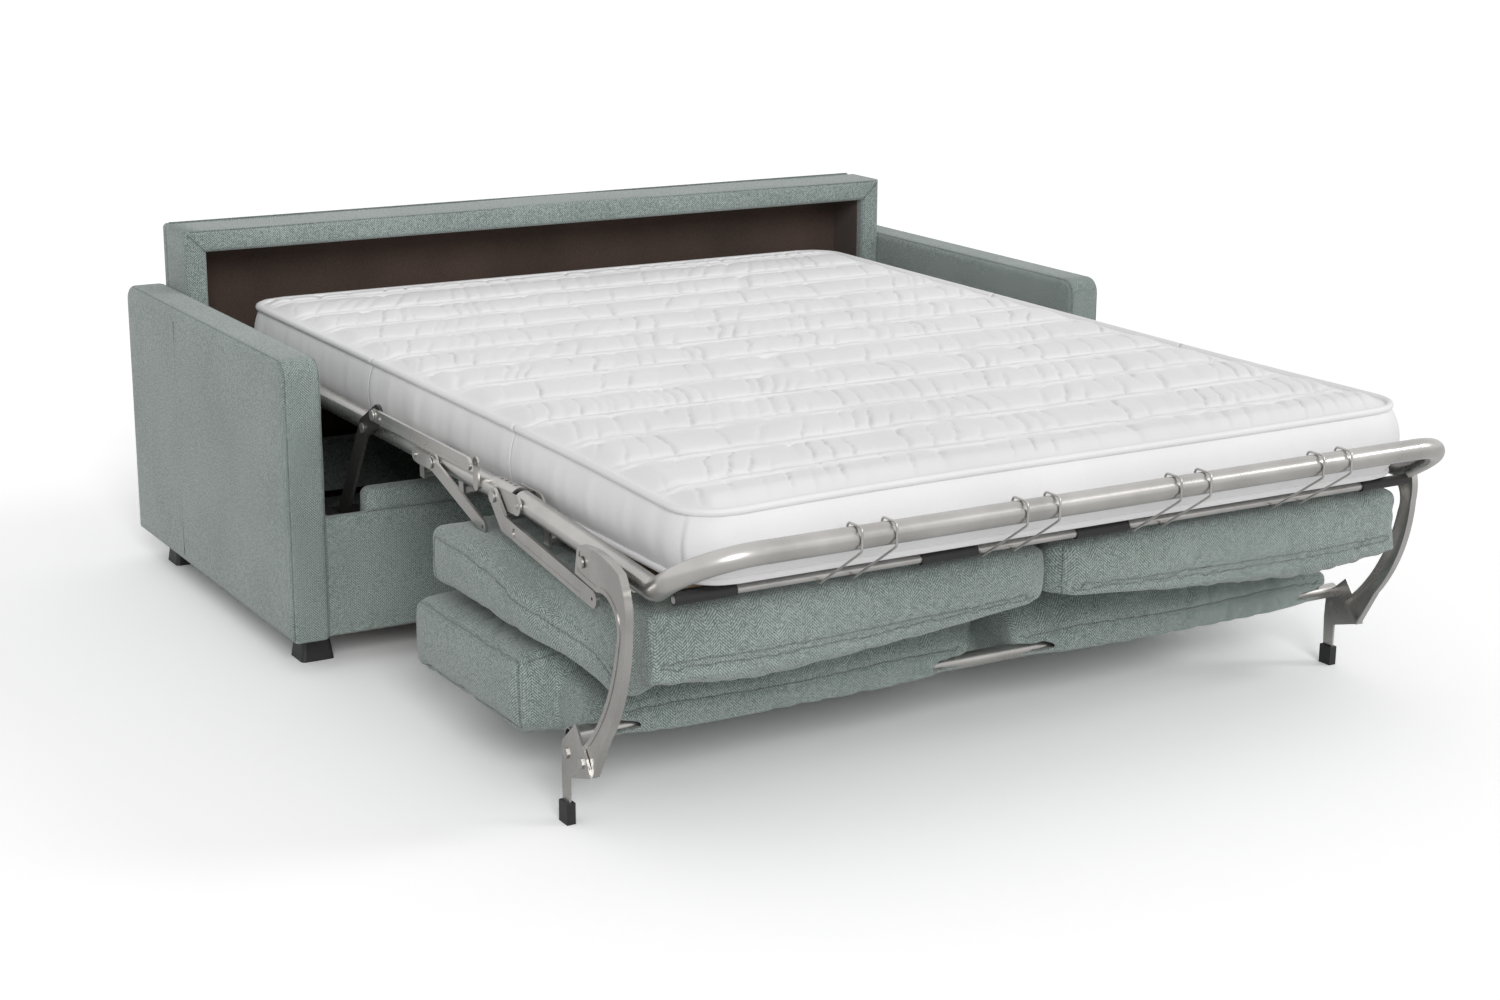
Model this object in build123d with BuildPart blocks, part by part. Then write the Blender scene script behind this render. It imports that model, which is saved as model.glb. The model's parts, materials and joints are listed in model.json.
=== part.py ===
"""Fold-out sofa bed, shown open: upholstered body, folding tube frame, mattress and flipped seat."""

import math
import os

from build123d import *

os.makedirs("parts", exist_ok=True)

# Sofa body
overall_width = 1920
arm_thickness = 78
arm_depth = 960
arm_top = 614
arm_top_round = 34
arm_edge_round = 12
underside = 62
bed_reach = 1160
back_top = 746
back_depth = 150
back_inset = 30
back_rim = 48
back_board = 20
back_edge_round = 10
lining = 3
panel_inset = 10
panel_thickness = 26
panel_top = 300
panel_round = 8
rail_thickness = 26
rail_top = 290
cross_rail = 28
cross_rail_low = 160
cross_rail_high = 275
cross_rail_back = 250
base_cloth = 4
foot_top_width = 52
foot_base_width = 68
foot_inset_x = 74
foot_inset_y = 96

# Mattress
side_room = 132
head_room = 160
mattress_thickness = 130
deck_drop = 29
quilt_rows = 12
quilt_crown = 7
mattress_slack = 8
seam_gap = 0.4
mattress_corner = 40

# Tube frame, distances are measured from the mattress foot towards the back
tube_radius = 19
tube_wall = 2
tube_height = 480
tube_gap = 15
foot_hinge = 472
middle_hinge = 815
head_hinge_setback = 470
head_margin = 15
foot_overhang = 124
foot_corner = 22
foot_cross = 100
foot_dip = 32
foot_rise = 45
foot_bend = 110
corner_bend = 30
knuckle_reach = 18
knuckle_gap = 30
cross_tube_radius = 10
gusset = 5
mesh_wire = 4
mesh_pitch_x = 118
mesh_pitch_y = 92
mesh_margin = 48
cheek = 4
cheek_half_height = 17
cheek_length = 72
pin_radius = 6
pin_head_radius = 10
pin_head = 3
running_fit = 0.05
side_clearance = 0.5

# Support arms that carry the main section
support_setback = 32
support_pitch = 330
support_pivot_height = 245
support_lean = 147
support_thickness = 6
support_boss = 19
crank_reach_y = 72
crank_reach_z = 40
link_gap = 2
bracket_plate = 6

# Links, curved legs and backrest
link_thickness = 6
lug_distance = 635
lug_height = 62
brace_foot_distance = 598
brace_drop = 66
drive_pivot = 546
drive_end_distance = 178
drive_end_drop = 62
leg_pivot = 182
leg_width = 14
leg_web = 4
leg_rim = 4
leg_head = 24
leg_crown = 28
leg_crown_run = 64
leg_shoulder_run = 126
leg_shoulder_rise = 12
leg_belly = 148
leg_belly_drop = 80
leg_neck = 48
leg_neck_drop = 36
leg_neck_run = 52
leg_inner_run = 117
leg_inner_drop = 104
leg_shin_run = 72
leg_shin_drop = 280
leg_heel_run = 30
leg_heel_drop = 354
leg_heel_width = 38
bracket_run = 70
bracket_top_drop = 276
bracket_mid_drop = 320
bracket_low_drop = 366
strut_width = 22
bolt_pitch = 54
bolt_drop = 337
cap_height = 38
cap_width = 30
cap_wall = 3
back_tube_radius = 14
back_tube_distance = 235
back_tube_rise = 56

# Cushions
seat_front = 20
seat_rear = 720
seat_thickness = 138
seat_sink = 4
seat_board = 6
seat_board_front = 88
seat_board_rear = 446
back_front = 205
back_rear = 806
sleeve_lap = 80
sleeve_rise = 10
sleeve_drop = 42
back_thickness = 177
back_lap = 12
back_shoulder = 335
ear_nose = 150
ear_front = 560
ear_rise = 107
ear_nose_rise = 32
ear_round = 24
ear_edge_round = 14
ear_clearance = 16
cushion_crown = 14
cushion_gap = 5
sleeve_gap = 46
soft_clearance = 9

# Seat rod and its wire hooks
rod_radius = 7
rod_distance = 2
rod_drop = 15
rod_sleeve_wall = 3
rod_sleeve_length = 110
rod_sleeve_gap = 6
hook_wire = 2
hook_pitch = 315
hook_half_width = 32
hook_clearance = 0.3

# Values worked out from the driving dimensions
inner_half = overall_width / 2 - arm_thickness
support_pivot = bed_reach - support_setback
head_hinge = bed_reach + head_hinge_setback
hook_overhang = foot_overhang + 2 * hook_wire + hook_clearance
overall_depth = bed_reach + arm_depth + hook_overhang
foot_line = -overall_depth / 2 + hook_overhang
arm_front = foot_line + bed_reach
arm_back = arm_front + arm_depth
back_outer = arm_back - back_inset
back_front_face = back_outer - back_depth
cavity_half = inner_half - back_rim
mattress_half = inner_half - side_room
mattress_width = 2 * mattress_half
mattress_length = bed_reach + arm_depth - head_room
deck_height = tube_height - deck_drop
mattress_top = deck_height + mattress_thickness
head_end = mattress_length - head_margin
tube_x = mattress_half + tube_gap + tube_radius
cheek_x = tube_x + tube_radius + side_clearance
plate_x = cheek_x + cheek + link_gap
outer_x = plate_x + support_thickness + link_gap
bracket_x = outer_x + side_clearance
leg_outer = outer_x + leg_width
cross_height = deck_height - mesh_wire - cross_tube_radius
pin_length = 2 * (tube_radius + side_clearance + cheek) + link_gap
support_drop = tube_height - support_pivot_height
seat_high = cross_height - cross_tube_radius - seat_sink
seat_low = seat_high - seat_thickness
back_high = seat_low - back_lap
back_low = back_high - back_thickness
back_tube_height = back_low + back_tube_rise
ear_top = seat_low + ear_rise
SIDES = (-1, 1)


def at(distance):
    """Y of a place that lies this far from the mattress foot."""
    return foot_line + distance


def foot_tube_z(distance):
    """Height of the foot section's side tube, which runs down towards the foot."""
    return tube_height - foot_dip * (foot_hinge - distance) / (foot_hinge - foot_corner)


def side_plane(x):
    """Plane square to X, with its own x along Y and its own y along Z."""
    return Plane(origin=(x, 0, 0), x_dir=(0, 1, 0), z_dir=(1, 0, 0))


def side_tube(side, start, end):
    """Straight hollow side tube between two distances from the foot."""
    with BuildSketch(Plane.XZ.offset(-at(end))) as ring:
        with Locations((side * tube_x, tube_height)):
            Circle(tube_radius)
            Circle(tube_radius - tube_wall, mode=Mode.SUBTRACT)
    extrude(ring.sketch, amount=end - start)


def cross_tube(distance, half_length):
    """Low round tube across the frame, under the deck."""
    with Locations((0, at(distance), cross_height)):
        Cylinder(cross_tube_radius, 2 * half_length, rotation=(0, 90, 0))


def gusset_plate(side, distance, tube_z):
    """Plate that hangs a cross tube under a side tube."""
    low = cross_height - cross_tube_radius
    with Locations((side * tube_x, at(distance), (low + tube_z - tube_radius / 2) / 2)):
        Box(gusset, 2 * cross_tube_radius, tube_z - tube_radius / 2 - low)


def hinge_cheeks(side, pin, root, height):
    """Two cheek plates on one tube's end, drilled for the pin through the next tube."""
    reach = 1 if root > pin else -1
    for face in (cheek_x, 2 * tube_x - cheek_x - cheek):
        with BuildSketch(side_plane(side * face)) as outline:
            with Locations(((at(pin) + at(root)) / 2, height)):
                SlotCenterToCenter(abs(root - pin), 2 * cheek_half_height)
            with Locations((at(pin), height)):
                Circle(pin_radius + running_fit, mode=Mode.SUBTRACT)
        extrude(outline.sketch, amount=side * cheek)
        outward = 1 if face > tube_x else -1
        middle = tube_x + outward * (tube_radius + side_clearance / 2)
        with Locations((side * middle, at(root) - reach * cheek_half_height / 2, height)):
            Box(side_clearance + 2 * tube_wall - 1, cheek_half_height, 2 * cheek)


def pin_hole(distance, height):
    """Bore across a side tube for a hinge pin."""
    for side in SIDES:
        with Locations((side * tube_x, at(distance), height)):
            Cylinder(pin_radius + running_fit, pin_length, rotation=(0, 90, 0), mode=Mode.SUBTRACT)


def pin(side, distance, height, length, head_inside=False):
    """Hinge pin from the inner cheek outwards, with a flat head on one end."""
    inner = tube_x - pin_length / 2
    head = inner - pin_head / 2 if head_inside else inner + length + pin_head / 2
    with Locations((side * (inner + length / 2), at(distance), height)):
        Cylinder(pin_radius, length, rotation=(0, 90, 0))
    with Locations((side * head, at(distance), height)):
        Cylinder(pin_head_radius, pin_head, rotation=(0, 90, 0))


def finish(piece, name):
    """Label a piece and write it."""
    piece.part.label = name
    export_step(piece.part, "parts/" + name + ".step")


def pressed_link(x, side, points, radius, thickness, bores):
    """Flat link: straight stretches between round bosses, with bores."""
    with BuildSketch(side_plane(side * x)) as outline:
        for first, second in zip(points, points[1:]):
            run = math.hypot(second[0] - first[0], second[1] - first[1])
            slope = math.degrees(math.atan2(second[1] - first[1], second[0] - first[0]))
            with Locations(((first[0] + second[0]) / 2, (first[1] + second[1]) / 2)):
                SlotCenterToCenter(run, 2 * radius, rotation=slope)
        for place, bore in bores:
            with Locations(place):
                Circle(bore, mode=Mode.SUBTRACT)
    extrude(outline.sketch, amount=side * thickness)


def rivet(x, side, place, radius, height):
    """Round rivet head on the outer face of a link."""
    with BuildSketch(side_plane(side * x)) as head:
        with Locations(place):
            Circle(radius)
    extrude(head.sketch, amount=side * height)


# Upholstered arms
for side, side_name in ((-1, "left"), (1, "right")):
    with BuildPart() as arm:
        with BuildSketch(side_plane(side * inner_half)):
            with Locations(((arm_front + arm_back) / 2, (arm_top + underside) / 2)):
                Rectangle(arm_depth, arm_top - underside)
            top_corners = vertices().group_by(Axis.Z)[-1]
            fillet(top_corners, arm_top_round)
        extrude(amount=side * arm_thickness)
        outer_face = faces().sort_by(Axis.X)[-1 if side > 0 else 0]
        fillet(outer_face.edges(), arm_edge_round)
    finish(arm, side_name + "_arm")

# Hollow back box between the arms, open to the front and below
with BuildPart() as back_box:
    with Locations((0, (back_outer + back_front_face) / 2, (back_top + underside) / 2)):
        Box(2 * inner_half, back_depth, back_top - underside)
    fillet(edges().filter_by(Axis.X).group_by(Axis.Z)[-1], back_edge_round)
    with Locations((0, back_outer - back_board, (back_top - back_rim + underside) / 2)):
        Box(
            2 * cavity_half,
            back_depth - back_board,
            back_top - back_rim - underside,
            align=(Align.CENTER, Align.MAX, Align.CENTER),
            mode=Mode.SUBTRACT,
        )
finish(back_box, "back_box")

# Dark felt that lines the cavity's back, roof and ends
with BuildPart() as cavity_lining:
    lining_low = underside + cross_rail
    lining_front = back_front_face + back_rim / 2
    lining_back = back_outer - back_board
    lining_top = back_top - back_rim
    with Locations((0, lining_back, (lining_top + lining_low) / 2)):
        Box(
            2 * cavity_half,
            lining_back - lining_front,
            lining_top - lining_low,
            align=(Align.CENTER, Align.MAX, Align.CENTER),
        )
    with Locations((0, lining_back - lining, lining_top - lining)):
        Box(
            2 * (cavity_half - lining),
            back_depth,
            back_top,
            align=(Align.CENTER, Align.MAX, Align.MAX),
            mode=Mode.SUBTRACT,
        )
finish(cavity_lining, "cavity_lining")

# Front panel between the arms
with BuildPart() as front_panel:
    with Locations((0, arm_front + panel_inset, underside)):
        Box(
            2 * inner_half,
            panel_thickness,
            panel_top - underside,
            align=(Align.CENTER, Align.MIN, Align.MIN),
        )
    fillet(edges().filter_by(Axis.X).group_by(Axis.Z)[-1], panel_round)
finish(front_panel, "front_panel")

# Timber side rails that carry the mechanism brackets
rail_front = arm_front + panel_inset + panel_thickness
rail_inner = inner_half - rail_thickness
for side, side_name in ((-1, "left"), (1, "right")):
    with BuildPart() as side_rail:
        with Locations((side * (inner_half - rail_thickness / 2), rail_front, underside)):
            Box(
                rail_thickness,
                back_front_face - rail_front,
                rail_top - underside,
                align=(Align.CENTER, Align.MIN, Align.MIN),
            )
    finish(side_rail, side_name + "_side_rail")

# Cross rail near the back and the cloth under the base
with BuildPart() as rear_cross_rail:
    with Locations((0, at(bed_reach + arm_depth - cross_rail_back), cross_rail_low)):
        Box(
            2 * rail_inner,
            cross_rail,
            cross_rail_high - cross_rail_low,
            align=(Align.CENTER, Align.MIN, Align.MIN),
        )
finish(rear_cross_rail, "rear_cross_rail")

with BuildPart() as base_panel:
    with Locations((0, rail_front, underside)):
        Box(
            2 * rail_inner,
            back_front_face - rail_front,
            base_cloth,
            align=(Align.CENTER, Align.MIN, Align.MIN),
        )
finish(base_panel, "base_cloth")

# Four flared feet
with BuildPart() as sofa_feet:
    foot_y = (arm_front + foot_inset_y, arm_back - foot_inset_y)
    for side in SIDES:
        for y in foot_y:
            with BuildSketch(Plane.XY.offset(0)):
                with Locations((side * (overall_width / 2 - foot_inset_x), y)):
                    RectangleRounded(foot_base_width, foot_base_width, foot_base_width / 8)
            with BuildSketch(Plane.XY.offset(underside)):
                with Locations((side * (overall_width / 2 - foot_inset_x), y)):
                    RectangleRounded(foot_top_width, foot_top_width, foot_base_width / 8)
            loft()
finish(sofa_feet, "sofa_feet")

# Support arms: the front pair with its crank, the rear pair parallel to it
front_top = (at(support_pivot), tube_height)
front_low = (at(support_pivot + support_lean), tube_height - support_drop)
crank_end = (at(support_pivot - crank_reach_y), tube_height + crank_reach_z)
rear_top = (at(support_pivot + support_pitch), tube_height)
rear_low = (at(support_pivot + support_pitch + support_lean), tube_height - support_drop)
pin_bore = pin_radius + running_fit
for side, side_name in ((-1, "left"), (1, "right")):
    with BuildPart() as front_arm:
        pressed_link(
            plate_x,
            side,
            (front_low, front_top, crank_end),
            support_boss,
            support_thickness,
            ((front_low, pin_bore), (front_top, pin_bore), (crank_end, pin_bore)),
        )
    finish(front_arm, "front_support_arm_" + side_name)
    with BuildPart() as rear_arm:
        pressed_link(
            plate_x,
            side,
            (rear_low, rear_top),
            support_boss,
            support_thickness,
            ((rear_low, pin_bore), (rear_top, pin_bore)),
        )
    finish(rear_arm, "rear_support_arm_" + side_name)

# Black brackets on the side rails, one each side, with the lower pivot studs
for side, side_name in ((-1, "left"), (1, "right")):
    with BuildPart() as bracket:
        bracket_low = underside + base_cloth
        bracket_high = rail_top - panel_round
        bracket_back = rear_low[0] + 3 * support_boss
        bracket_front = front_low[0] - 2 * support_boss
        with Locations((side * bracket_x, (bracket_front + bracket_back) / 2, bracket_low)):
            Box(
                rail_inner - bracket_x,
                bracket_back - bracket_front,
                bracket_high - bracket_low,
                align=(Align.MIN if side > 0 else Align.MAX, Align.CENTER, Align.MIN),
            )
        for place in (front_low, rear_low):
            with BuildSketch(side_plane(side * bracket_x)):
                with Locations(place):
                    Circle(pin_radius)
            extrude(amount=-side * (support_thickness + link_gap + side_clearance + pin_head))
            with BuildSketch(side_plane(side * (plate_x - side_clearance))):
                with Locations(place):
                    Circle(pin_head_radius)
            extrude(amount=-side * pin_head)
    finish(bracket, "mechanism_bracket_" + side_name)

# Main section: side tubes, cross tubes and hinge cheeks at both ends, with a brace on each side
main_start = middle_hinge + knuckle_gap
main_stop = head_hinge - knuckle_gap
brace_foot = (at(brace_foot_distance), tube_height - brace_drop)
brace_top = (at(middle_hinge), tube_height)
brace_thickness = link_gap + link_thickness / 2
with BuildPart() as main_frame:
    for side in SIDES:
        side_tube(side, main_start, main_stop)
        hinge_cheeks(side, middle_hinge, middle_hinge + cheek_length, tube_height)
        hinge_cheeks(side, head_hinge, head_hinge - cheek_length, tube_height)
        for distance in (main_start + cheek_length, main_stop - cheek_length):
            gusset_plate(side, distance, tube_height)
    for distance in (main_start + cheek_length, main_stop - cheek_length):
        cross_tube(distance, tube_x)
    pin_hole(support_pivot, tube_height)
    pin_hole(support_pivot + support_pitch, tube_height)
finish(main_frame, "main_frame")

for side, side_name in ((-1, "left"), (1, "right")):
    with BuildPart() as brace:
        brace_back = (at(middle_hinge + cheek_length), tube_height)
        pressed_link(
            cheek_x + cheek,
            side,
            (brace_back, brace_top, brace_foot),
            support_boss * 0.65,
            brace_thickness,
            ((brace_foot, pin_radius / 2), (brace_top, pin_bore)),
        )
        rivet(cheek_x + cheek + brace_thickness, side, brace_back, pin_radius, pin_head)
    finish(brace, "stay_brace_" + side_name)

# Pins through the main section's tubes for the support arms
with BuildPart() as support_pins:
    for side in SIDES:
        for place in (support_pivot, support_pivot + support_pitch):
            reach = plate_x + support_thickness + side_clearance - tube_x + pin_length / 2
            pin(side, place, tube_height, reach)
finish(support_pins, "support_arm_pins")

# Head section
head_start = head_hinge - knuckle_reach
with BuildPart() as head_frame:
    for side in SIDES:
        side_tube(side, head_start, head_end)
        gusset_plate(side, head_end - cross_tube_radius - gusset, tube_height)
        gusset_plate(side, head_start + cheek_length, tube_height)
    cross_tube(head_end - cross_tube_radius - gusset, tube_x)
    cross_tube(head_start + cheek_length, tube_x)
    pin_hole(head_hinge, tube_height)
finish(head_frame, "head_frame")

# Middle section: short tubes in sleeves, with cheeks for the foot section
middle_start = foot_hinge + knuckle_gap
middle_stop = middle_hinge + knuckle_reach
drive_place = (at(drive_pivot), tube_height)
with BuildPart() as middle_frame:
    for side in SIDES:
        side_tube(side, middle_start, middle_stop)
        hinge_cheeks(side, foot_hinge, foot_hinge + cheek_length, tube_height)
        for distance in (middle_start + cheek_length, middle_hinge - cheek_length):
            gusset_plate(side, distance, tube_height)
    for distance in (middle_start + cheek_length, middle_hinge - cheek_length):
        cross_tube(distance, tube_x)
    pin_hole(middle_hinge, tube_height)
finish(middle_frame, "middle_frame")

# Perforated sleeves over the middle section's tubes
with BuildPart() as hinge_sleeves:
    sleeve_start = middle_start
    sleeve_stop = middle_start + cheek_length + cheek_half_height
    for side in SIDES:
        with BuildSketch(Plane.XZ.offset(-at(sleeve_stop))):
            with Locations((side * tube_x, tube_height)):
                Circle(tube_radius + tube_wall + 1)
                Circle(tube_radius + running_fit, mode=Mode.SUBTRACT)
                Rectangle(4 * tube_radius, 1.5 * cheek_half_height, mode=Mode.SUBTRACT)
            with Locations((side * tube_x, tube_height - 2 * tube_radius)):
                Rectangle(4 * tube_radius, 4 * tube_radius, mode=Mode.SUBTRACT)
        extrude(amount=sleeve_stop - sleeve_start)
        for step in range(4):
            with Locations((side * tube_x, at(sleeve_start + (step + 1) * 18), tube_height + tube_radius)):
                Cylinder(3, 4 * tube_wall + 2, mode=Mode.SUBTRACT)
finish(hinge_sleeves, "hinge_sleeves")

# Foot section: one bent tube that runs down to the corners and rises forwards into the foot bar
foot_y = at(-foot_overhang + tube_radius)
foot_z = tube_height + foot_rise
corner_z = foot_tube_z(foot_corner)
foot_start = foot_hinge + knuckle_reach
with BuildPart() as foot_frame:
    with BuildLine() as foot_path:
        FilletPolyline(
            (-tube_x, at(foot_start), foot_tube_z(foot_start)),
            (-tube_x, at(foot_corner), corner_z),
            (-tube_x, foot_y, foot_z),
            (tube_x, foot_y, foot_z),
            (tube_x, at(foot_corner), corner_z),
            (tube_x, at(foot_start), foot_tube_z(foot_start)),
            radius=(corner_bend, foot_bend, foot_bend, corner_bend),
        )
    with BuildSketch(Plane(origin=foot_path.line @ 0, z_dir=foot_path.line % 0)):
        Circle(tube_radius)
    sweep()
    for side in SIDES:
        for distance in (foot_cross, foot_hinge - cheek_length):
            gusset_plate(side, distance, foot_tube_z(distance))
    for distance in (foot_cross, foot_hinge - cheek_length):
        cross_tube(distance, tube_x)
    pin_hole(foot_hinge, tube_height)
    pin_hole(leg_pivot, foot_tube_z(leg_pivot))
finish(foot_frame, "foot_frame")

# Hinge pins of the three sections
with BuildPart() as head_pins:
    for side in SIDES:
        pin(side, head_hinge, tube_height, pin_length)
finish(head_pins, "head_hinge_pins")

with BuildPart() as middle_pins:
    for side in SIDES:
        pin(side, middle_hinge, tube_height, pin_length + brace_thickness)
finish(middle_pins, "middle_hinge_pins")

with BuildPart() as foot_pins:
    for side in SIDES:
        pin(side, foot_hinge, tube_height, pin_length, head_inside=True)
finish(foot_pins, "foot_hinge_pins")


def mesh_deck(name, start, stop):
    """Welded wire deck on a section's cross tubes."""
    columns = 2 * int((mattress_half - mesh_pitch_x / 2) / mesh_pitch_x) + 1
    rows = max(2, int((stop - start) / mesh_pitch_y))
    pitch_y = (stop - start - mesh_wire) / (rows - 1)
    with BuildPart() as deck:
        with BuildSketch(Plane.XY.offset(deck_height - mesh_wire)):
            with Locations((0, at((start + stop) / 2))):
                with GridLocations(mesh_pitch_x, 0, columns, 1):
                    Rectangle(mesh_wire, stop - start)
                with GridLocations(0, pitch_y, 1, rows):
                    Rectangle(2 * tube_x - 2 * tube_radius - 2 * gusset, mesh_wire)
        extrude(amount=mesh_wire)
    finish(deck, name)


mesh_deck("main_deck_mesh", main_start, main_stop)
mesh_deck("head_deck_mesh", head_hinge + knuckle_gap, head_end - gusset)
mesh_deck("middle_deck_mesh", middle_start + knuckle_gap, middle_hinge - knuckle_gap)
mesh_deck("foot_deck_mesh", mesh_margin, foot_hinge - knuckle_gap)

# Upper links from the cranks and the lugs that they reach
for side, side_name in ((-1, "left"), (1, "right")):
    with BuildPart() as upper_link:
        link_end = (at(lug_distance), tube_height + lug_height * 0.63)
        pressed_link(
            outer_x,
            side,
            (crank_end, link_end),
            support_boss * 0.63,
            link_thickness,
            ((crank_end, pin_bore),),
        )
        with BuildSketch(side_plane(side * (outer_x + link_thickness))):
            with Locations(((crank_end[0] + link_end[0]) / 2, (crank_end[1] + link_end[1]) / 2)):
                slope = math.degrees(math.atan2(crank_end[1] - link_end[1], crank_end[0] - link_end[0]))
                SlotOverall(crank_end[0] - link_end[0] - 3 * support_boss, support_boss * 0.55, rotation=slope)
        extrude(amount=-side * link_thickness / 3, mode=Mode.SUBTRACT)
    finish(upper_link, "upper_link_" + side_name)

with BuildPart() as link_lugs:
    lug_low = (at(lug_distance), tube_height)
    lug_high = (at(lug_distance), tube_height + lug_height * 0.63)
    for side in SIDES:
        pressed_link(
            tube_x + tube_radius,
            side,
            (lug_low, lug_high),
            support_boss * 0.55,
            cheek,
            ((lug_high, pin_radius / 2),),
        )
finish(link_lugs, "link_lugs")

with BuildPart() as crank_pins:
    for side in SIDES:
        with BuildSketch(side_plane(side * (plate_x - side_clearance))):
            with Locations(crank_end):
                Circle(pin_radius)
        extrude(amount=side * (support_thickness + link_gap + link_thickness + 2 * side_clearance))
        for face in (plate_x - side_clearance - pin_head, outer_x + link_thickness + side_clearance):
            with BuildSketch(side_plane(side * face)):
                with Locations(crank_end):
                    Circle(pin_head_radius)
            extrude(amount=side * pin_head)
finish(crank_pins, "crank_pins")

# Drive arms between the middle section and the curved legs
leg_place = (at(leg_pivot), foot_tube_z(leg_pivot))
drive_end = (at(drive_end_distance), leg_place[1] - drive_end_drop)
drive_bend = (at(drive_pivot - 2 * support_boss), tube_height - 2 * support_boss)
for side, side_name in ((-1, "left"), (1, "right")):
    with BuildPart() as drive_arm:
        pressed_link(
            plate_x,
            side,
            (drive_place, drive_bend, drive_end),
            support_boss * 0.8,
            link_thickness,
            ((drive_place, pin_bore), (drive_end, pin_radius / 2)),
        )
        with BuildSketch(side_plane(side * (plate_x + link_thickness))):
            run_y = (drive_bend[0] + drive_end[0]) / 2
            run_z = (drive_bend[1] + drive_end[1]) / 2
            run = math.hypot(drive_bend[0] - drive_end[0], drive_bend[1] - drive_end[1])
            slope = math.degrees(math.atan2(drive_bend[1] - drive_end[1], drive_bend[0] - drive_end[0]))
            with Locations((run_y, run_z)):
                SlotOverall(run - 4 * support_boss, support_boss * 0.8, rotation=slope)
        extrude(amount=-side * link_thickness / 3, mode=Mode.SUBTRACT)
    finish(drive_arm, "drive_arm_" + side_name)

with BuildPart() as drive_pins:
    for side in SIDES:
        with BuildSketch(side_plane(side * (cheek_x + cheek))):
            with Locations(drive_place):
                Circle(pin_radius)
        extrude(amount=side * (link_gap + link_thickness + side_clearance))
        with BuildSketch(side_plane(side * (plate_x + link_thickness + side_clearance))):
            with Locations(drive_place):
                Circle(pin_head_radius)
        extrude(amount=side * pin_head)
finish(drive_pins, "drive_arm_pins")


def from_leg(run, rise):
    """Point in the side plane, measured forwards and up from the leg's pivot."""
    return (leg_place[0] - run, leg_place[1] + rise)


def leg_outline():
    """Closed outline of the curved leg in its side plane."""
    with BuildLine() as outline:
        top = Line(from_leg(-leg_head, -leg_head), from_leg(-leg_head * 0.6, leg_head))
        crown = ThreePointArc(
            top @ 1,
            from_leg(leg_crown_run, leg_crown),
            from_leg(leg_shoulder_run, leg_shoulder_rise),
        )
        shoulder = ThreePointArc(
            crown @ 1,
            from_leg(leg_belly * 0.97, -leg_belly_drop * 0.27),
            from_leg(leg_belly, -leg_belly_drop),
        )
        belly = ThreePointArc(
            shoulder @ 1,
            from_leg(leg_belly * 0.86, -leg_shin_drop * 0.656),
            from_leg(leg_shin_run, -leg_shin_drop),
        )
        heel = Line(belly @ 1, from_leg(leg_heel_run, -leg_heel_drop))
        back = Line(heel @ 1, from_leg(leg_heel_run - leg_heel_width, -leg_heel_drop + leg_heel_width))
        inner = ThreePointArc(
            back @ 1,
            from_leg(leg_inner_run * 0.68, -leg_inner_drop * 2.02),
            from_leg(leg_inner_run, -leg_inner_drop),
        )
        elbow = ThreePointArc(
            inner @ 1,
            from_leg(leg_inner_run - leg_head / 2, -leg_neck),
            from_leg(leg_neck_run, -leg_neck_drop),
        )
        Line(elbow @ 1, top @ 0)
    make_face(outline.edges())


def strut_outline():
    """Outline of the bracket under the leg and its strut down to the foot cap."""
    front = leg_heel_run
    with BuildLine() as outline:
        Polyline(
            from_leg(leg_heel_run - leg_neck - 2, -bracket_top_drop),
            from_leg(-bracket_run, -bracket_mid_drop),
            from_leg(-bracket_run - 2, -bracket_low_drop),
            (leg_place[0] + bracket_run - 2, cap_wall),
            (leg_place[0] + bracket_run - strut_width - 2, cap_wall),
            from_leg(-bracket_run + strut_width + 4, -bracket_low_drop - strut_width / 2),
            from_leg(front + 2, -leg_heel_drop),
            from_leg(front - leg_neck / 4, -leg_heel_drop + leg_neck * 0.6),
            close=True,
        )
    make_face(outline.edges())


bolt_rear = from_leg(-bolt_pitch, -bolt_drop)
bolt_front = from_leg(0, -bolt_drop)

# Curved legs: pressed channels, open towards the middle, with a rim on the outside
for side, side_name in ((-1, "left"), (1, "right")):
    with BuildPart() as leg:
        with BuildSketch(side_plane(side * outer_x)):
            leg_outline()
        extrude(amount=side * leg_width)
        with BuildSketch(side_plane(side * outer_x)):
            leg_outline()
            offset(amount=-leg_web, kind=Kind.INTERSECTION)
        extrude(amount=side * (leg_width - leg_web), mode=Mode.SUBTRACT)
        with BuildSketch(side_plane(side * leg_outer)):
            leg_outline()
            offset(amount=-2 * leg_rim, kind=Kind.INTERSECTION)
        extrude(amount=-side * leg_web / 3, mode=Mode.SUBTRACT)
        with BuildSketch(side_plane(side * outer_x)):
            with Locations(leg_place):
                Circle(2 * pin_radius)
        extrude(amount=side * (leg_width - leg_web / 2))
        with BuildSketch(side_plane(side * outer_x)):
            with Locations(leg_place):
                Circle(pin_bore)
        extrude(amount=side * leg_width, mode=Mode.SUBTRACT)
    finish(leg, "curved_leg_" + side_name)
    with BuildPart() as strut:
        with BuildSketch(side_plane(side * leg_outer)):
            strut_outline()
        extrude(amount=side * leg_web)
        for place in (bolt_rear, bolt_front):
            with BuildSketch(side_plane(side * leg_outer)):
                with Locations(place):
                    Circle(pin_radius + running_fit)
            extrude(amount=side * leg_web, mode=Mode.SUBTRACT)
    finish(strut, "leg_strut_" + side_name)

with BuildPart() as leg_pins:
    for side in SIDES:
        reach = leg_outer + side_clearance - tube_x + pin_length / 2
        pin(side, leg_pivot, foot_tube_z(leg_pivot), reach)
finish(leg_pins, "leg_pivot_pins")

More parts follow.
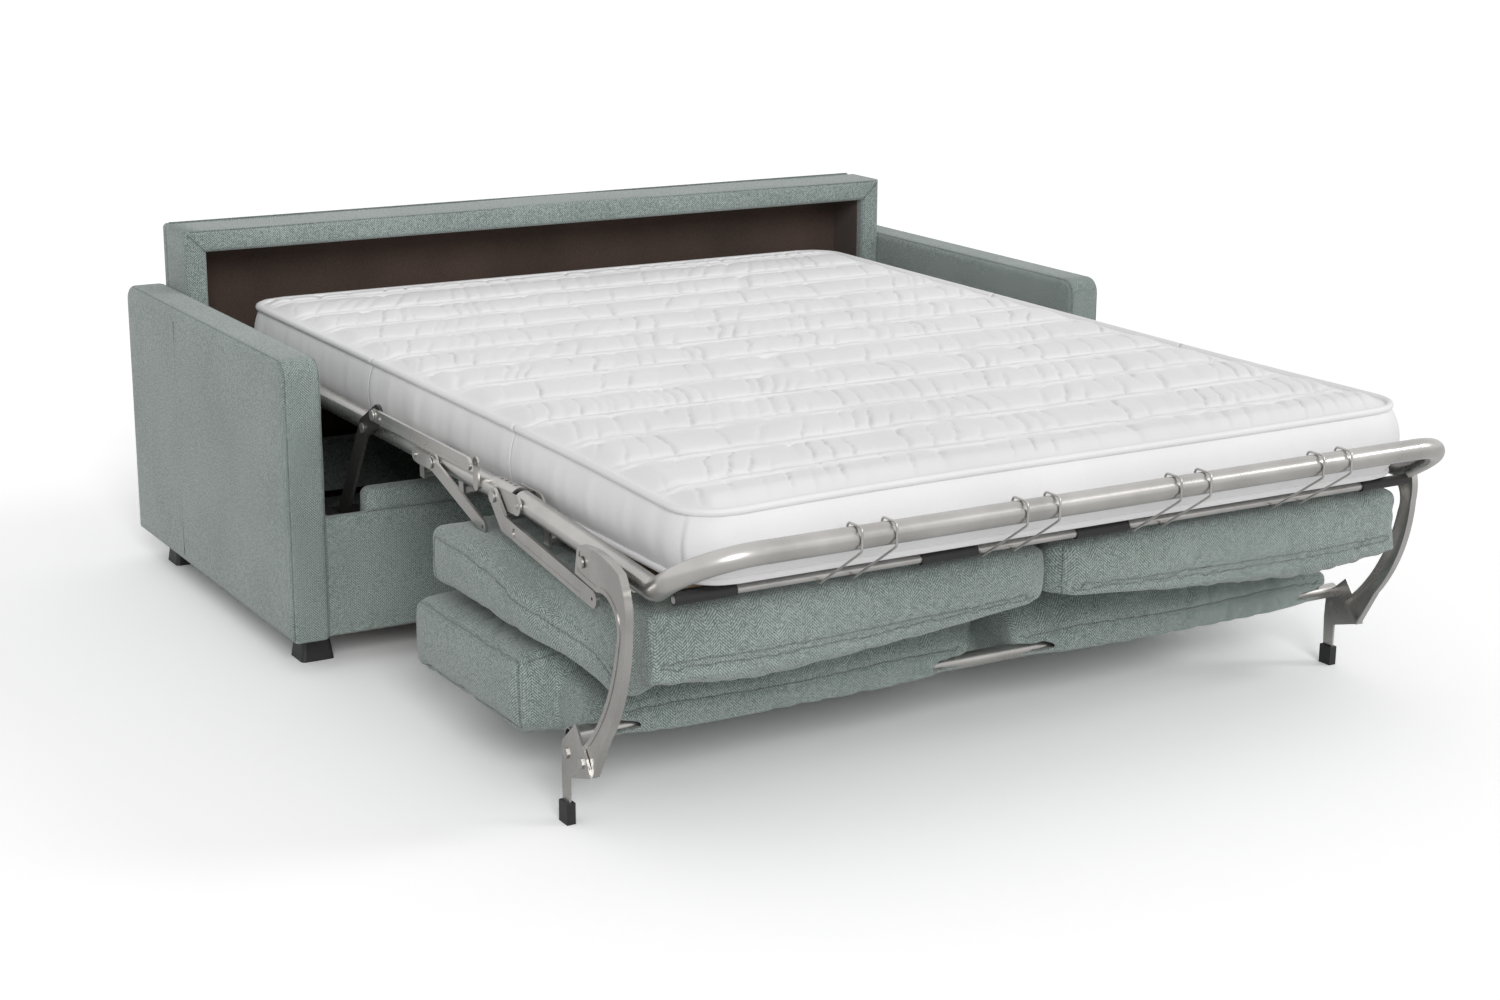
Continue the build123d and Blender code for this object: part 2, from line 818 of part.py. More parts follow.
with BuildPart() as foot_caps:
    cap_y = leg_place[0] + bracket_run - 2 - strut_width / 2
    for side in SIDES:
        with Locations((side * (leg_outer + leg_web / 2), cap_y, 0)):
            Box(
                leg_web + 2 * cap_wall + 2 * cap_wall,
                cap_width,
                cap_height,
                align=(Align.CENTER, Align.CENTER, Align.MIN),
            )
    fillet(edges().group_by(Axis.Z)[-1], cap_wall / 2)
    for side in SIDES:
        with BuildSketch(side_plane(side * leg_outer)):
            strut_outline()
        extrude(amount=side * leg_web, mode=Mode.SUBTRACT)
finish(foot_caps, "foot_caps")

# Backrest tube between the legs, with bolts through the brackets
back_place = (at(back_tube_distance), back_tube_height)
with BuildPart() as back_tube:
    with Locations((0, at(back_tube_distance), back_tube_height)):
        Cylinder(back_tube_radius, 2 * leg_outer, rotation=(0, 90, 0))
        Cylinder(back_tube_radius - tube_wall, 2 * leg_outer, rotation=(0, 90, 0), mode=Mode.SUBTRACT)
finish(back_tube, "backrest_tube")

with BuildPart() as leg_bolts:
    for side in SIDES:
        for place in (bolt_rear, bolt_front):
            with BuildSketch(side_plane(side * leg_outer)):
                with Locations(place):
                    Circle(pin_radius)
            extrude(amount=side * leg_web)
            with BuildSketch(side_plane(side * (leg_outer + leg_web))):
                with Locations(place):
                    RegularPolygon(pin_head_radius, 6)
            extrude(amount=side * pin_head)
finish(leg_bolts, "leg_bolts")

# Seat rod under the foot tube, its black sleeves and the wire hooks that hang it
rod_z = deck_height - rod_drop
with BuildPart() as seat_rod:
    with Locations((0, at(rod_distance), rod_z)):
        Cylinder(rod_radius, 2 * (tube_x - tube_radius), rotation=(0, 90, 0))
finish(seat_rod, "seat_rod")

hook_places = [hook_pitch * (step - 1.5) for step in range(4)]
with BuildPart() as rod_sleeves:
    sleeve_shift = hook_half_width + hook_wire + rod_sleeve_gap + rod_sleeve_length / 2
    sleeve_places = (
        -tube_x + tube_radius + rod_sleeve_length / 2,
        hook_places[1] - sleeve_shift,
        hook_places[2] - sleeve_shift,
        tube_x - tube_radius - rod_sleeve_length / 2,
    )
    with Locations(*[(place, at(rod_distance), rod_z) for place in sleeve_places]):
        Cylinder(rod_radius + rod_sleeve_wall, rod_sleeve_length, rotation=(0, 90, 0))
        Cylinder(rod_radius + running_fit, rod_sleeve_length, rotation=(0, 90, 0), mode=Mode.SUBTRACT)
finish(rod_sleeves, "rod_sleeves")

with BuildPart() as wire_hooks:
    rod_reach = rod_radius + hook_wire + hook_clearance
    tube_reach = tube_radius + hook_wire + hook_clearance
    hook_front = foot_y - tube_reach
    hook_back = foot_y + tube_reach
    hook_top = foot_z + tube_reach
    hook_low = rod_z - rod_reach
    for place in hook_places:
        for leg_side in SIDES:
            x = place + leg_side * hook_half_width
            with BuildLine() as wire:
                FilletPolyline(
                    (x, at(rod_distance) + rod_reach, rod_z + rod_radius),
                    (x, at(rod_distance) + rod_reach, hook_low),
                    (x, at(rod_distance) - rod_reach, hook_low),
                    (x, hook_front, foot_z - 0.9 * tube_radius),
                    (x, hook_front, hook_top),
                    (x, hook_back, hook_top),
                    (x, hook_back, foot_z + tube_radius / 2),
                    radius=rod_reach - 1,
                )
            with BuildSketch(Plane(origin=wire.line @ 0, z_dir=wire.line % 0)):
                Circle(hook_wire)
            sweep(path=wire.line)
        with Locations((place, hook_back, foot_z + tube_radius / 2)):
            Cylinder(hook_wire, 2 * hook_half_width, rotation=(0, 90, 0))
finish(wire_hooks, "wire_hooks")


def pillow_section(plane, y_low, y_high, z_low, z_high, bulge_y, bulge_z):
    """Cross-section of a cushion: four bulging sides between its corners."""
    y_mid = (y_low + y_high) / 2
    z_mid = (z_low + z_high) / 2
    with BuildSketch(plane) as section:
        with BuildLine():
            low = ThreePointArc((y_low, z_low), (y_mid, z_low - bulge_z), (y_high, z_low))
            rear = ThreePointArc(low @ 1, (y_high + bulge_y, z_mid), (y_high, z_high))
            high = ThreePointArc(rear @ 1, (y_mid, z_high + bulge_z), (y_low, z_high))
            ThreePointArc(high @ 1, (y_low - bulge_y, z_mid), low @ 0)
        make_face()
    return section.sketch


def pillow(side, x_inner, x_outer, y_low, y_high, z_low, z_high):
    """Crowned cushion whose ends are drawn in."""
    crown = cushion_crown
    sections = []
    stations = ((0, 1.0, 0.15), (0.14, 0.25, 0.8), (0.5, 0, 1.0), (0.86, 0.25, 0.8), (1, 1.0, 0.15))
    for share, drawn, bulge in stations:
        inset = crown * (1 + drawn)
        x = x_inner + share * (x_outer - x_inner)
        section = pillow_section(
            side_plane(side * x),
            y_low + inset,
            y_high - inset,
            z_low + inset,
            z_high - inset,
            crown * bulge,
            crown * bulge,
        )
        sections.append(section)
    loft(sections)


def ear(side):
    """Wide lower corner of a seat cushion, cut away under the links along a slanting line."""
    low = seat_low + seat_sink
    rear = at(seat_rear) - seat_sink
    root = narrow_outer - 2 * ear_nose_rise
    with BuildSketch(side_plane(side * root)) as outline:
        with BuildLine():
            Polyline(
                (at(ear_nose), low),
                (rear, low),
                (rear, ear_top),
                (at(ear_front), ear_top),
                (at(ear_nose), low + ear_nose_rise),
                close=True,
            )
        make_face()
        fillet(outline.vertices().sort_by(Axis.Y)[2:], ear_round)
    with BuildPart() as wing:
        extrude(outline.sketch, amount=side * (wide_outer - root))
        outer_face = wing.faces().sort_by(Axis.X)[-1 if side > 0 else 0]
        fillet(outer_face.edges(), ear_edge_round)
    add(wing.part)


# Board under the foot section's cross tubes that the seat cushions are fixed to
board_top = cross_height - cross_tube_radius
board_low = board_top - seat_board
with BuildPart() as seat_board_piece:
    with Locations((0, at((seat_board_front + seat_board_rear) / 2), board_low)):
        Box(
            2 * (tube_x - 2 * tube_radius),
            seat_board_rear - seat_board_front,
            seat_board,
            align=(Align.CENTER, Align.CENTER, Align.MIN),
        )
finish(seat_board_piece, "seat_board")

# Seat cushions, upside down under the foot section, and back cushions under them
narrow_outer = plate_x - link_gap - soft_clearance
wide_outer = inner_half - ear_clearance
for side, side_name in ((-1, "left"), (1, "right")):
    with BuildPart() as seat_cushion:
        pillow(side, cushion_gap / 2, narrow_outer, at(seat_front), at(seat_rear), seat_low, seat_high)
        ear(side)
        with Locations((0, at((seat_board_front + seat_board_rear) / 2), board_low)):
            Box(
                overall_width,
                seat_board_rear - seat_board_front,
                2 * seat_board,
                align=(Align.CENTER, Align.CENTER, Align.MIN),
                mode=Mode.SUBTRACT,
            )
    finish(seat_cushion, "seat_cushion_" + side_name)
    with BuildPart() as back_cushion:
        pillow(side, cushion_gap / 2, wide_outer, at(back_shoulder), at(back_rear), back_low, back_high)
        pillow(
            side,
            sleeve_gap,
            narrow_outer,
            at(back_front),
            at(back_shoulder + sleeve_lap),
            back_low + sleeve_rise,
            back_high - sleeve_drop,
        )
        with Locations((0, at(back_tube_distance), back_tube_height)):
            Cylinder(
                back_tube_radius + running_fit,
                overall_width,
                rotation=(0, 90, 0),
                mode=Mode.SUBTRACT,
            )
    finish(back_cushion, "back_cushion_" + side_name)


def mattress_piece(name, start, stop, first_row, last_row):
    """Length of quilted mattress, crowned between the stitched rows."""
    rows = [start + (stop - start) * step / (last_row - first_row) for step in range(last_row - first_row + 1)]
    with BuildPart() as piece:
        with BuildSketch(side_plane(-mattress_half)):
            with BuildLine():
                Polyline(
                    (at(rows[-1]), mattress_top),
                    (at(stop), deck_height),
                    (at(start), deck_height),
                    (at(rows[0]), mattress_top),
                )
                for row, following in zip(rows, rows[1:]):
                    ThreePointArc(
                        (at(row), mattress_top),
                        (at((row + following) / 2), mattress_top + quilt_crown),
                        (at(following), mattress_top),
                    )
            make_face()
        extrude(amount=mattress_width)
        if name in ("mattress_foot", "mattress_head"):
            end = -1 if name == "mattress_head" else 0
            fillet(edges().filter_by(Axis.Z).group_by(Axis.Y)[end], mattress_corner)
    finish(piece, name)


fold_length = mattress_thickness + mattress_slack
mattress_piece("mattress_foot", 0, foot_hinge - fold_length, 0, 2)
mattress_piece("mattress_front_fold", foot_hinge - fold_length, foot_hinge, 2, 3)
mattress_piece("mattress_middle", foot_hinge + seam_gap, middle_hinge - seam_gap, 3, 5)
mattress_piece("mattress_rear_fold", middle_hinge, middle_hinge + fold_length, 5, 6)
mattress_piece("mattress_main", middle_hinge + fold_length, head_hinge - mattress_slack, 6, 10)
mattress_piece("mattress_head", head_hinge + mattress_slack, mattress_length, 10, 12)
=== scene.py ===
"""Looks of the opened sofa bed, with its camera and studio."""

import json
import math

import bpy
import numpy as np
from mathutils import Matrix, Vector


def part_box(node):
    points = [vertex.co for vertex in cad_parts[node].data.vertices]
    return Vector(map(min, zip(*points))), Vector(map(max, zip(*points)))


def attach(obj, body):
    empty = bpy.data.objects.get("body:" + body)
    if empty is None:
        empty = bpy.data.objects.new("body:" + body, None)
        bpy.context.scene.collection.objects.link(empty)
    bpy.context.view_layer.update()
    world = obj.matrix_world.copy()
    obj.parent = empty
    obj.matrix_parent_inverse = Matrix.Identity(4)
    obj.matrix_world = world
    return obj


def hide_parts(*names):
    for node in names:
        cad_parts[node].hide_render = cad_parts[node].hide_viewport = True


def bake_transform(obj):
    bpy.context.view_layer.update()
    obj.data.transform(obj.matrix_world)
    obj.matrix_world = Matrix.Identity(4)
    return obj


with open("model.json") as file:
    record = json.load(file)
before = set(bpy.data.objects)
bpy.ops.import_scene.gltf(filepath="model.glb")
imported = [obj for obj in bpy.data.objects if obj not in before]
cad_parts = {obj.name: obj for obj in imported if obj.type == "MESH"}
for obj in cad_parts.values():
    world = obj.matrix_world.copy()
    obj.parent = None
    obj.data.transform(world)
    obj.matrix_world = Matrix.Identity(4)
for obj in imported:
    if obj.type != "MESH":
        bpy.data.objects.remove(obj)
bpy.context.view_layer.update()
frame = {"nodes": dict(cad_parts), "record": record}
nodes = frame["nodes"]

FOOT_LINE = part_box("mattress_foot")[0][1]
SIDES = ((-1, "left"), (1, "right"))


def at(distance):
    """Y of a place that lies this far, in metres, from the mattress foot."""
    return FOOT_LINE + distance


def assign(thing, **values):
    """Set several values of a thing and return it."""
    for name, value in values.items():
        setattr(thing, name, value)
    return thing


# Materials


class Shader:
    """A new material with its principled shader and short ways to add nodes."""

    def __init__(self, name, color, roughness, metallic=0.0, sheen=0.0):
        self.material = bpy.data.materials.new(name)
        self.material.use_nodes = True
        self.tree = self.material.node_tree
        self.bsdf = self.tree.nodes["Principled BSDF"]
        self.bsdf.inputs["Base Color"].default_value = (*color, 1.0)
        self.bsdf.inputs["Roughness"].default_value = roughness
        self.bsdf.inputs["Metallic"].default_value = metallic
        self.bsdf.inputs["Sheen Weight"].default_value = sheen

    def add(self, kind, **settings):
        return assign(self.tree.nodes.new(kind), **settings)

    def link(self, source, target):
        self.tree.links.new(source, target)

    def math(self, operation, *values):
        node = self.add("ShaderNodeMath", operation=operation)
        for socket, value in zip(node.inputs, values):
            if isinstance(value, (int, float)):
                socket.default_value = value
            else:
                self.link(value, socket)
        return node.outputs[0]

    def noise(self, coords, scale, detail=2.0, roughness=0.5):
        node = self.add("ShaderNodeTexNoise")
        node.inputs["Scale"].default_value = scale
        node.inputs["Detail"].default_value = detail
        node.inputs["Roughness"].default_value = roughness
        self.link(coords, node.inputs["Vector"])
        return node.outputs["Fac"]

    def ramp(self, value, stops):
        node = self.add("ShaderNodeValToRGB")
        ramp = node.color_ramp
        while len(ramp.elements) < len(stops):
            ramp.elements.new(0.5)
        for element, (place, color) in zip(ramp.elements, stops):
            element.position = place
            element.color = (*color, 1.0)
        self.link(value, node.inputs["Fac"])
        return node.outputs["Color"]

    def paint(self, value, stops):
        """Base colour from a ramp over a value."""
        self.link(self.ramp(value, stops), self.bsdf.inputs["Base Color"])

    def place(self):
        return self.add("ShaderNodeTexCoord").outputs["Object"]

    def bump(self, height, strength, distance):
        node = self.add("ShaderNodeBump")
        node.inputs["Strength"].default_value = strength
        node.inputs["Distance"].default_value = distance
        self.link(height, node.inputs["Height"])
        self.link(node.outputs["Normal"], self.bsdf.inputs["Normal"])

    def face_coords(self):
        """Flat coordinates in metres on whichever main plane a face lies nearest to."""
        coords = self.add("ShaderNodeTexCoord")
        place = self.add("ShaderNodeSeparateXYZ")
        self.link(coords.outputs["Object"], place.inputs[0])
        facing = self.add("ShaderNodeSeparateXYZ")
        self.link(coords.outputs["Normal"], facing.inputs[0])
        size = [self.math("ABSOLUTE", facing.outputs[axis]) for axis in range(3)]
        to_x = self.math("GREATER_THAN", size[0], self.math("MAXIMUM", size[1], size[2]))
        to_z = self.math("GREATER_THAN", size[2], self.math("MAXIMUM", size[0], size[1]))
        across = self.pick(to_x, place.outputs["X"], place.outputs["Y"])
        along = self.pick(to_z, place.outputs["Z"], place.outputs["Y"])
        return across, along, coords.outputs["Object"]

    def pick(self, choice, plain, chosen):
        node = self.add("ShaderNodeMix", data_type="FLOAT")
        self.link(choice, node.inputs[0])
        self.link(plain, node.inputs[2])
        self.link(chosen, node.inputs[3])
        return node.outputs[0]

    def total(self, *parts):
        """Sum of values, each with its weight."""
        result = None
        for value, weight in parts:
            scaled = self.math("MULTIPLY", value, weight)
            result = scaled if result is None else self.math("ADD", result, scaled)
        return result


def tint(color, factor):
    """The colour, darker or lighter."""
    return tuple(min(1.0, value * factor) for value in color)


TWILL_RIB, TWILL_STRIPE = 0.0052, 0.021
TICKING_YARN = 0.0016


def twill_cloth(name, dark, mid, light):
    """Grey-green twill: slanted ribs that change direction in narrow stripes, with paler flecks."""
    cloth = Shader(name, mid, 0.92, sheen=0.25)
    cloth.bsdf.inputs["Sheen Roughness"].default_value = 0.55
    across, along, place = cloth.face_coords()
    zigzag = cloth.math("PINGPONG", across, TWILL_STRIPE)
    slant = cloth.math("ADD", along, zigzag)
    wave = cloth.math("SINE", cloth.math("MULTIPLY", slant, 2 * math.pi / TWILL_RIB))
    yarn = cloth.math("SINE", cloth.math("MULTIPLY", across, 2 * math.pi / (TWILL_RIB * 0.8)))
    weave = cloth.math("MULTIPLY_ADD", wave, 0.34, 0.5)
    fleck = cloth.noise(place, 250.0, 2.0, 0.75)
    broad = cloth.noise(place, 6.0, 3.0)
    tone = cloth.total((weave, 0.44), (fleck, 0.90), (broad, 0.16), (yarn, 0.05))
    cloth.paint(tone, ((0.57, dark), (0.75, mid), (0.93, light)))
    height = cloth.math("ADD", weave, cloth.math("MULTIPLY", fleck, 0.7))
    cloth.bump(height, 0.35, 0.0012)
    return cloth.material


def quilt_cloth(name, color, shade):
    """White satin ticking with a faint lengthwise yarn and soft tonal drift."""
    cloth = Shader(name, color, 0.55, sheen=0.3)
    cloth.bsdf.inputs["Sheen Roughness"].default_value = 0.4
    _, along, place = cloth.face_coords()
    broad = cloth.noise(place, 4.0, 3.0)
    fine = cloth.noise(place, 260.0, 2.0)
    yarn = cloth.math("SINE", cloth.math("MULTIPLY", along, 2 * math.pi / TICKING_YARN))
    tone = cloth.total((broad, 0.8), (fine, 0.2))
    cloth.paint(tone, ((0.25, shade), (0.7, color)))
    cloth.bump(cloth.math("ADD", fine, cloth.math("MULTIPLY", yarn, 0.25)), 0.12, 0.0008)
    return cloth.material


def metal(name, color, roughness, metallic, streak):
    """Painted or plated steel with uneven tone and gloss and a fine grain."""
    steel = Shader(name, color, roughness, metallic)
    coords = steel.place()
    broad = steel.noise(coords, 9.0, 4.0)
    fine = steel.noise(coords, 700.0, 2.0)
    steel.paint(broad, ((0.3, tint(color, 0.82)), (0.7, tint(color, 1.1))))
    rough = steel.math("MULTIPLY_ADD", broad, streak, roughness - streak / 2)
    steel.link(rough, steel.bsdf.inputs["Roughness"])
    steel.bump(fine, 0.06, 0.0004)
    return steel.material


def plastic(name, color, roughness):
    """Moulded plastic with a fine grain."""
    piece = Shader(name, color, roughness)
    grain = piece.noise(piece.place(), 900.0, 2.0)
    piece.paint(grain, ((0.35, color), (0.75, tint(color, 1.6))))
    piece.bump(grain, 0.25, 0.0005)
    return piece.material


def felt(name, color):
    """Dark needled felt."""
    lining = Shader(name, color, 1.0, sheen=0.15)
    coords = lining.place()
    fibre = lining.noise(coords, 320.0, 5.0, 0.75)
    drift = lining.noise(coords, 5.0, 2.0)
    tone = lining.total((fibre, 0.6), (drift, 0.4))
    lining.paint(tone, ((0.3, tint(color, 0.55)), (0.7, tint(color, 1.5))))
    lining.bump(fibre, 0.5, 0.0015)
    return lining.material


def board(name, color):
    """Plain board with a lengthwise grain."""
    wood = Shader(name, color, 0.6)
    coords = wood.place()
    stretch = wood.add("ShaderNodeMapping")
    stretch.inputs["Scale"].default_value = (3.0, 60.0, 60.0)
    wood.link(coords, stretch.inputs["Vector"])
    grain = wood.noise(stretch.outputs["Vector"], 1.0, 4.0)
    wood.paint(grain, ((0.3, tint(color, 0.65)), (0.7, color)))
    wood.bump(grain, 0.1, 0.001)
    return wood.material


upholstery = twill_cloth("upholstery",
                         (0.104, 0.136, 0.124), (0.206, 0.251, 0.236), (0.372, 0.426, 0.406))
seam_cloth = twill_cloth("seam_cloth",
                         (0.07, 0.09, 0.083), (0.145, 0.175, 0.165), (0.26, 0.30, 0.285))
ticking = quilt_cloth("ticking", (0.83, 0.825, 0.83), (0.76, 0.755, 0.765))
# Thread in the stitched grooves, given a grey darker than the ticking: the thread itself, plus
# painted shade of the grooves it lies in.
thread_with_painted_shade = quilt_cloth("thread_with_painted_shade", (0.66, 0.655, 0.66), (0.58, 0.575, 0.58))
silver = metal("silver_paint", (0.49, 0.476, 0.458), 0.28, 0.92, 0.10)
bright = metal("zinc_plate", (0.52, 0.51, 0.49), 0.36, 0.95, 0.12)
# Near-black paint. On the front support arms this darkness also stands in for the deep shade inside
# the sofa: painted shade.
black_paint_and_painted_shade = metal("black_paint_and_painted_shade", (0.030, 0.028, 0.027), 0.42, 0.2, 0.15)
wire_paint = metal("wire_paint", (0.33, 0.33, 0.32), 0.45, 0.6, 0.15)
black_plastic = plastic("black_plastic", (0.012, 0.012, 0.012), 0.5)
lining_felt = felt("lining_felt", (0.066, 0.043, 0.033))
plain_board = board("plain_board", (0.36, 0.25, 0.15))

SLOT_LOOKS = {
    "upholstery": upholstery,
    "lining_felt": lining_felt,
    "mattress_cloth": ticking,
    "silver_steel": silver,
    "bright_steel": bright,
    "black_steel": black_paint_and_painted_shade,
    "deck_wire": wire_paint,
    "black_plastic": black_plastic,
    "board": plain_board,
}
for subpart in frame["record"]["subparts"]:
    carried = nodes[subpart["node"]]
    carried.data.materials.clear()
    carried.data.materials.append(SLOT_LOOKS[subpart["material_slot"]])

# Mesh helpers


def new_piece(name, points, faces, material):
    """Smooth-shaded object from arrays of points and faces."""
    mesh = bpy.data.meshes.new(name)
    mesh.from_pydata([tuple(point) for point in points], [], [tuple(face) for face in faces])
    mesh.validate()
    mesh.update()
    mesh.polygons.foreach_set("use_smooth", [True] * len(mesh.polygons))
    mesh.materials.append(material)
    piece = bpy.data.objects.new(name, mesh)
    bpy.context.scene.collection.objects.link(piece)
    return piece


def triples(items, key):
    """One row of three numbers for each item of a mesh."""
    flat = np.empty(3 * len(items))
    items.foreach_get(key, flat)
    return flat.reshape(-1, 3)


def points_of(piece):
    return triples(piece.data.vertices, "co")


def set_points(piece, points):
    piece.data.vertices.foreach_set("co", np.asarray(points, dtype=float).ravel())
    piece.data.update()


def normals_of(piece):
    return triples(piece.data.vertex_normals, "vector")


def ripple(seed, values, length, count=5):
    """Smooth irregular wave along one coordinate, between about -1 and 1."""
    draw = np.random.default_rng(seed)
    total = np.zeros_like(values, dtype=float)
    for _ in range(count):
        wavelength = length * draw.uniform(0.6, 1.7)
        phase = draw.uniform(0, 2 * math.pi)
        total += np.sin(values * 2 * math.pi / wavelength + phase)
    return total / count ** 0.75


def ease(values, start, stop):
    """Smooth step from 0 at start to 1 at stop, in either direction."""
    share = np.clip((values - start) / (stop - start), 0, 1)
    return share * share * (3 - 2 * share)


def tubes(name, paths, radius, material, sides=8):
    """One mesh of round cords along open paths, closed at their ends."""
    points, faces = [], []
    for path in paths:
        path = np.asarray(path, dtype=float)
        ahead = np.gradient(path, axis=0)
        ahead /= np.linalg.norm(ahead, axis=1)[:, None]
        up = np.array((0.0, 0.0, 1.0))
        if abs(ahead[0] @ up) > 0.9:
            up = np.array((0.0, 1.0, 0.0))
        first = len(points)
        for place, heading in zip(path, ahead):
            side = np.cross(heading, up)
            side /= np.linalg.norm(side)
            up = np.cross(side, heading)
            for step in range(sides):
                turn = 2 * math.pi * step / sides
                points.append(place + radius * (side * math.cos(turn) + up * math.sin(turn)))
        rings = len(path)
        for ring in range(rings - 1):
            for step in range(sides):
                a = first + ring * sides + step
                b = first + ring * sides + (step + 1) % sides
                faces.append((a, b, b + sides, a + sides))
        last = first + (rings - 1) * sides
        faces.append([first + step for step in reversed(range(sides))])
        faces.append([last + step for step in range(sides)])
    return new_piece(name, points, faces, material)


# Mattress: three quilted lengths

MATTRESS_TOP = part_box("mattress_main")[1][2] - 0.004
MATTRESS_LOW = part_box("mattress_main")[0][2]
MATTRESS_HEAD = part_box("mattress_head")[1][1] - FOOT_LINE
PIPING_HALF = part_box("mattress_main")[1][0] - 0.016
SIDE_BULGE = 0.017
FOOT_BULGE = 0.026
PIPING_FOOT = -0.016
CORNER = 0.075
ROW_START, ROW_PITCH, ROW_COUNT = 0.118, 0.1605, 12
STITCH_SPREAD = 0.0125
ROWS = [ROW_START + ROW_PITCH * step for step in range(ROW_COUNT)]
STITCHES = [(row, offset) for row in range(ROW_COUNT) for offset in (-STITCH_SPREAD, STITCH_SPREAD)]
FRONT_SEAM = ROWS[3] + STITCH_SPREAD
REAR_SEAM = ROWS[7] + STITCH_SPREAD
SAME_PLACE = 0.001
CUT_GAP, CUT_FACE_GAP, CUT_FACING, END_FACING = 1e-6, 1e-4, 0.999, 0.5

COLUMNS, COLUMN_CROWDING = 401, 0.62
STEP_AT_END, STEP_AT_CORNER, STEP_BETWEEN = 0.0022, 0.0045, 0.0066
END_RUN, LAST_STEP = 0.02, 0.009
WALL_LEVELS, WALL_CREASE, WALL_SKEW = 14, 0.0012, 1.3
SOLE = MATTRESS_LOW + 0.005
PIPING_RADIUS, PIPING_OUT, PIPING_RISE = 0.0070, 0.0045, 0.008
THREAD_RADIUS, THREAD_LIFT, THREAD_INSET = 0.0013, 0.0004, 0.030

STITCH_WAVE, TOP_DRIFT = 0.0035, 0.005
PUFF_RISE, PUFF_RUN = 0.0110, 0.024
GROOVE_DEPTH, GROOVE_WIDTH = 0.0075, 0.0046
CREASE_DEPTH, CREASE_LENGTH, CREASE_WIDTH = 0.0125, 0.080, 0.12
CREASE_LEAN, CREASE_LEAN_DRIFT, CREASE_WANDER = -0.45, 0.30, 0.006
CREASE_FADE, CREASE_HELD = 0.45, 0.004
EDGE_RUN, EDGE_FALL = 0.055, 0.007
CORNER_DROOP, CORNER_LIFT, DROOP_RUN = -0.010, 0.004, 0.30
DRIFT_SEED, STITCH_SEED, CREASE_SEED, LEAN_SEED = 11, 40, 70, 90
STRENGTH_SEED, WANDER_SEED, WALL_SEED = 110, 130, 150


def stitch_place(number, spread, x):
    """Distance of a line of stitches from the foot, wavy except where two lengths meet."""
    sewn = ROWS[number] + spread
    on_seam = min(abs(sewn - FRONT_SEAM), abs(sewn - REAR_SEAM)) < SAME_PLACE
    wave = 0.0 if on_seam else STITCH_WAVE
    return sewn + wave * ripple(STITCH_SEED + number, x, 0.16)


def quilt_height(x, y, edge):
    """Height of the quilted top over the plain one, for arrays of places and edge distances."""
    height = TOP_DRIFT * ripple(DRIFT_SEED, x, 0.55) * ripple(DRIFT_SEED + 1, y, 0.5)
    lines = [y - stitch_place(number, offset, x) for number, offset in STITCHES]
    stitch = np.min(np.abs(np.array(lines)), axis=0)
    gathers = np.zeros_like(x)
    bounds = [ROWS[0] - ROW_PITCH, *ROWS, ROWS[-1] + ROW_PITCH]
    for number, (low, high) in enumerate(zip(bounds, bounds[1:])):
        lean = CREASE_LEAN + CREASE_LEAN_DRIFT * ripple(LEAN_SEED + number, x, 0.5)
        slant = x + lean * (y - low) + CREASE_WANDER * ripple(WANDER_SEED + number, y, 0.09)
        crease = np.exp(-np.abs(ripple(CREASE_SEED + number, slant, CREASE_LENGTH)) / CREASE_WIDTH)
        strength = np.clip(0.50 + 0.6 * ripple(STRENGTH_SEED + number, x, 0.14), 0.05, 1)
        across = np.minimum(y - low, high - y)
        hold = 1 - CREASE_FADE * np.clip(2 * across / ROW_PITCH, 0, 1)
        gathers -= crease * strength * hold * np.clip(across / STITCH_SPREAD, 0, 1)
    puff = PUFF_RISE * (1 - np.exp(-stitch / PUFF_RUN))
    groove = -GROOVE_DEPTH * np.exp(-((stitch / GROOVE_WIDTH) ** 2))
    height += puff + groove + CREASE_DEPTH * gathers * (1 - np.exp(-stitch / CREASE_HELD))
    soft = ease(edge, 0, EDGE_RUN)
    return height * soft - EDGE_FALL * (1 - soft)


def quilted_top(x, y, edge):
    """Height of the mattress top, with its left foot corner hanging a little."""
    to_side = np.clip(np.abs(x) / PIPING_HALF, 0, 1) ** 3
    droop = np.exp(-((y - PIPING_FOOT) / DROOP_RUN) ** 2) * to_side
    hang = np.where(x < 0, CORNER_DROOP, CORNER_LIFT) * droop
    return MATTRESS_TOP + quilt_height(x, y, edge) + hang


def stitch_paths(start, stop):
    """Paths of the threads sewn through the top between two distances from the foot."""
    paths = []
    x = np.linspace(-PIPING_HALF + THREAD_INSET, PIPING_HALF - THREAD_INSET, 150)
    for number, offset in STITCHES:
        if start <= ROWS[number] + offset < stop - SAME_PLACE:
            y = stitch_place(number, offset, x)
            z = quilted_top(x, y, PIPING_HALF - np.abs(x))
            paths.append(np.stack((x, at(y), z + THREAD_LIFT), axis=1))
    return paths


def mattress_stations(start, stop, round_start, round_stop):
    """Distances from the foot of the mesh rows, closer together towards a rounded end."""
    places = [start]
    while places[-1] < stop - LAST_STEP:
        from_start = places[-1] - start if round_start else 1.0
        from_stop = stop - places[-1] if round_stop else 1.0
        from_end = min(from_start, from_stop)
        step = STEP_AT_CORNER if from_end < CORNER else STEP_BETWEEN
        if from_end < END_RUN:
            step = STEP_AT_END
        places.append(places[-1] + step)
    places.append(stop)
    return np.array(places)


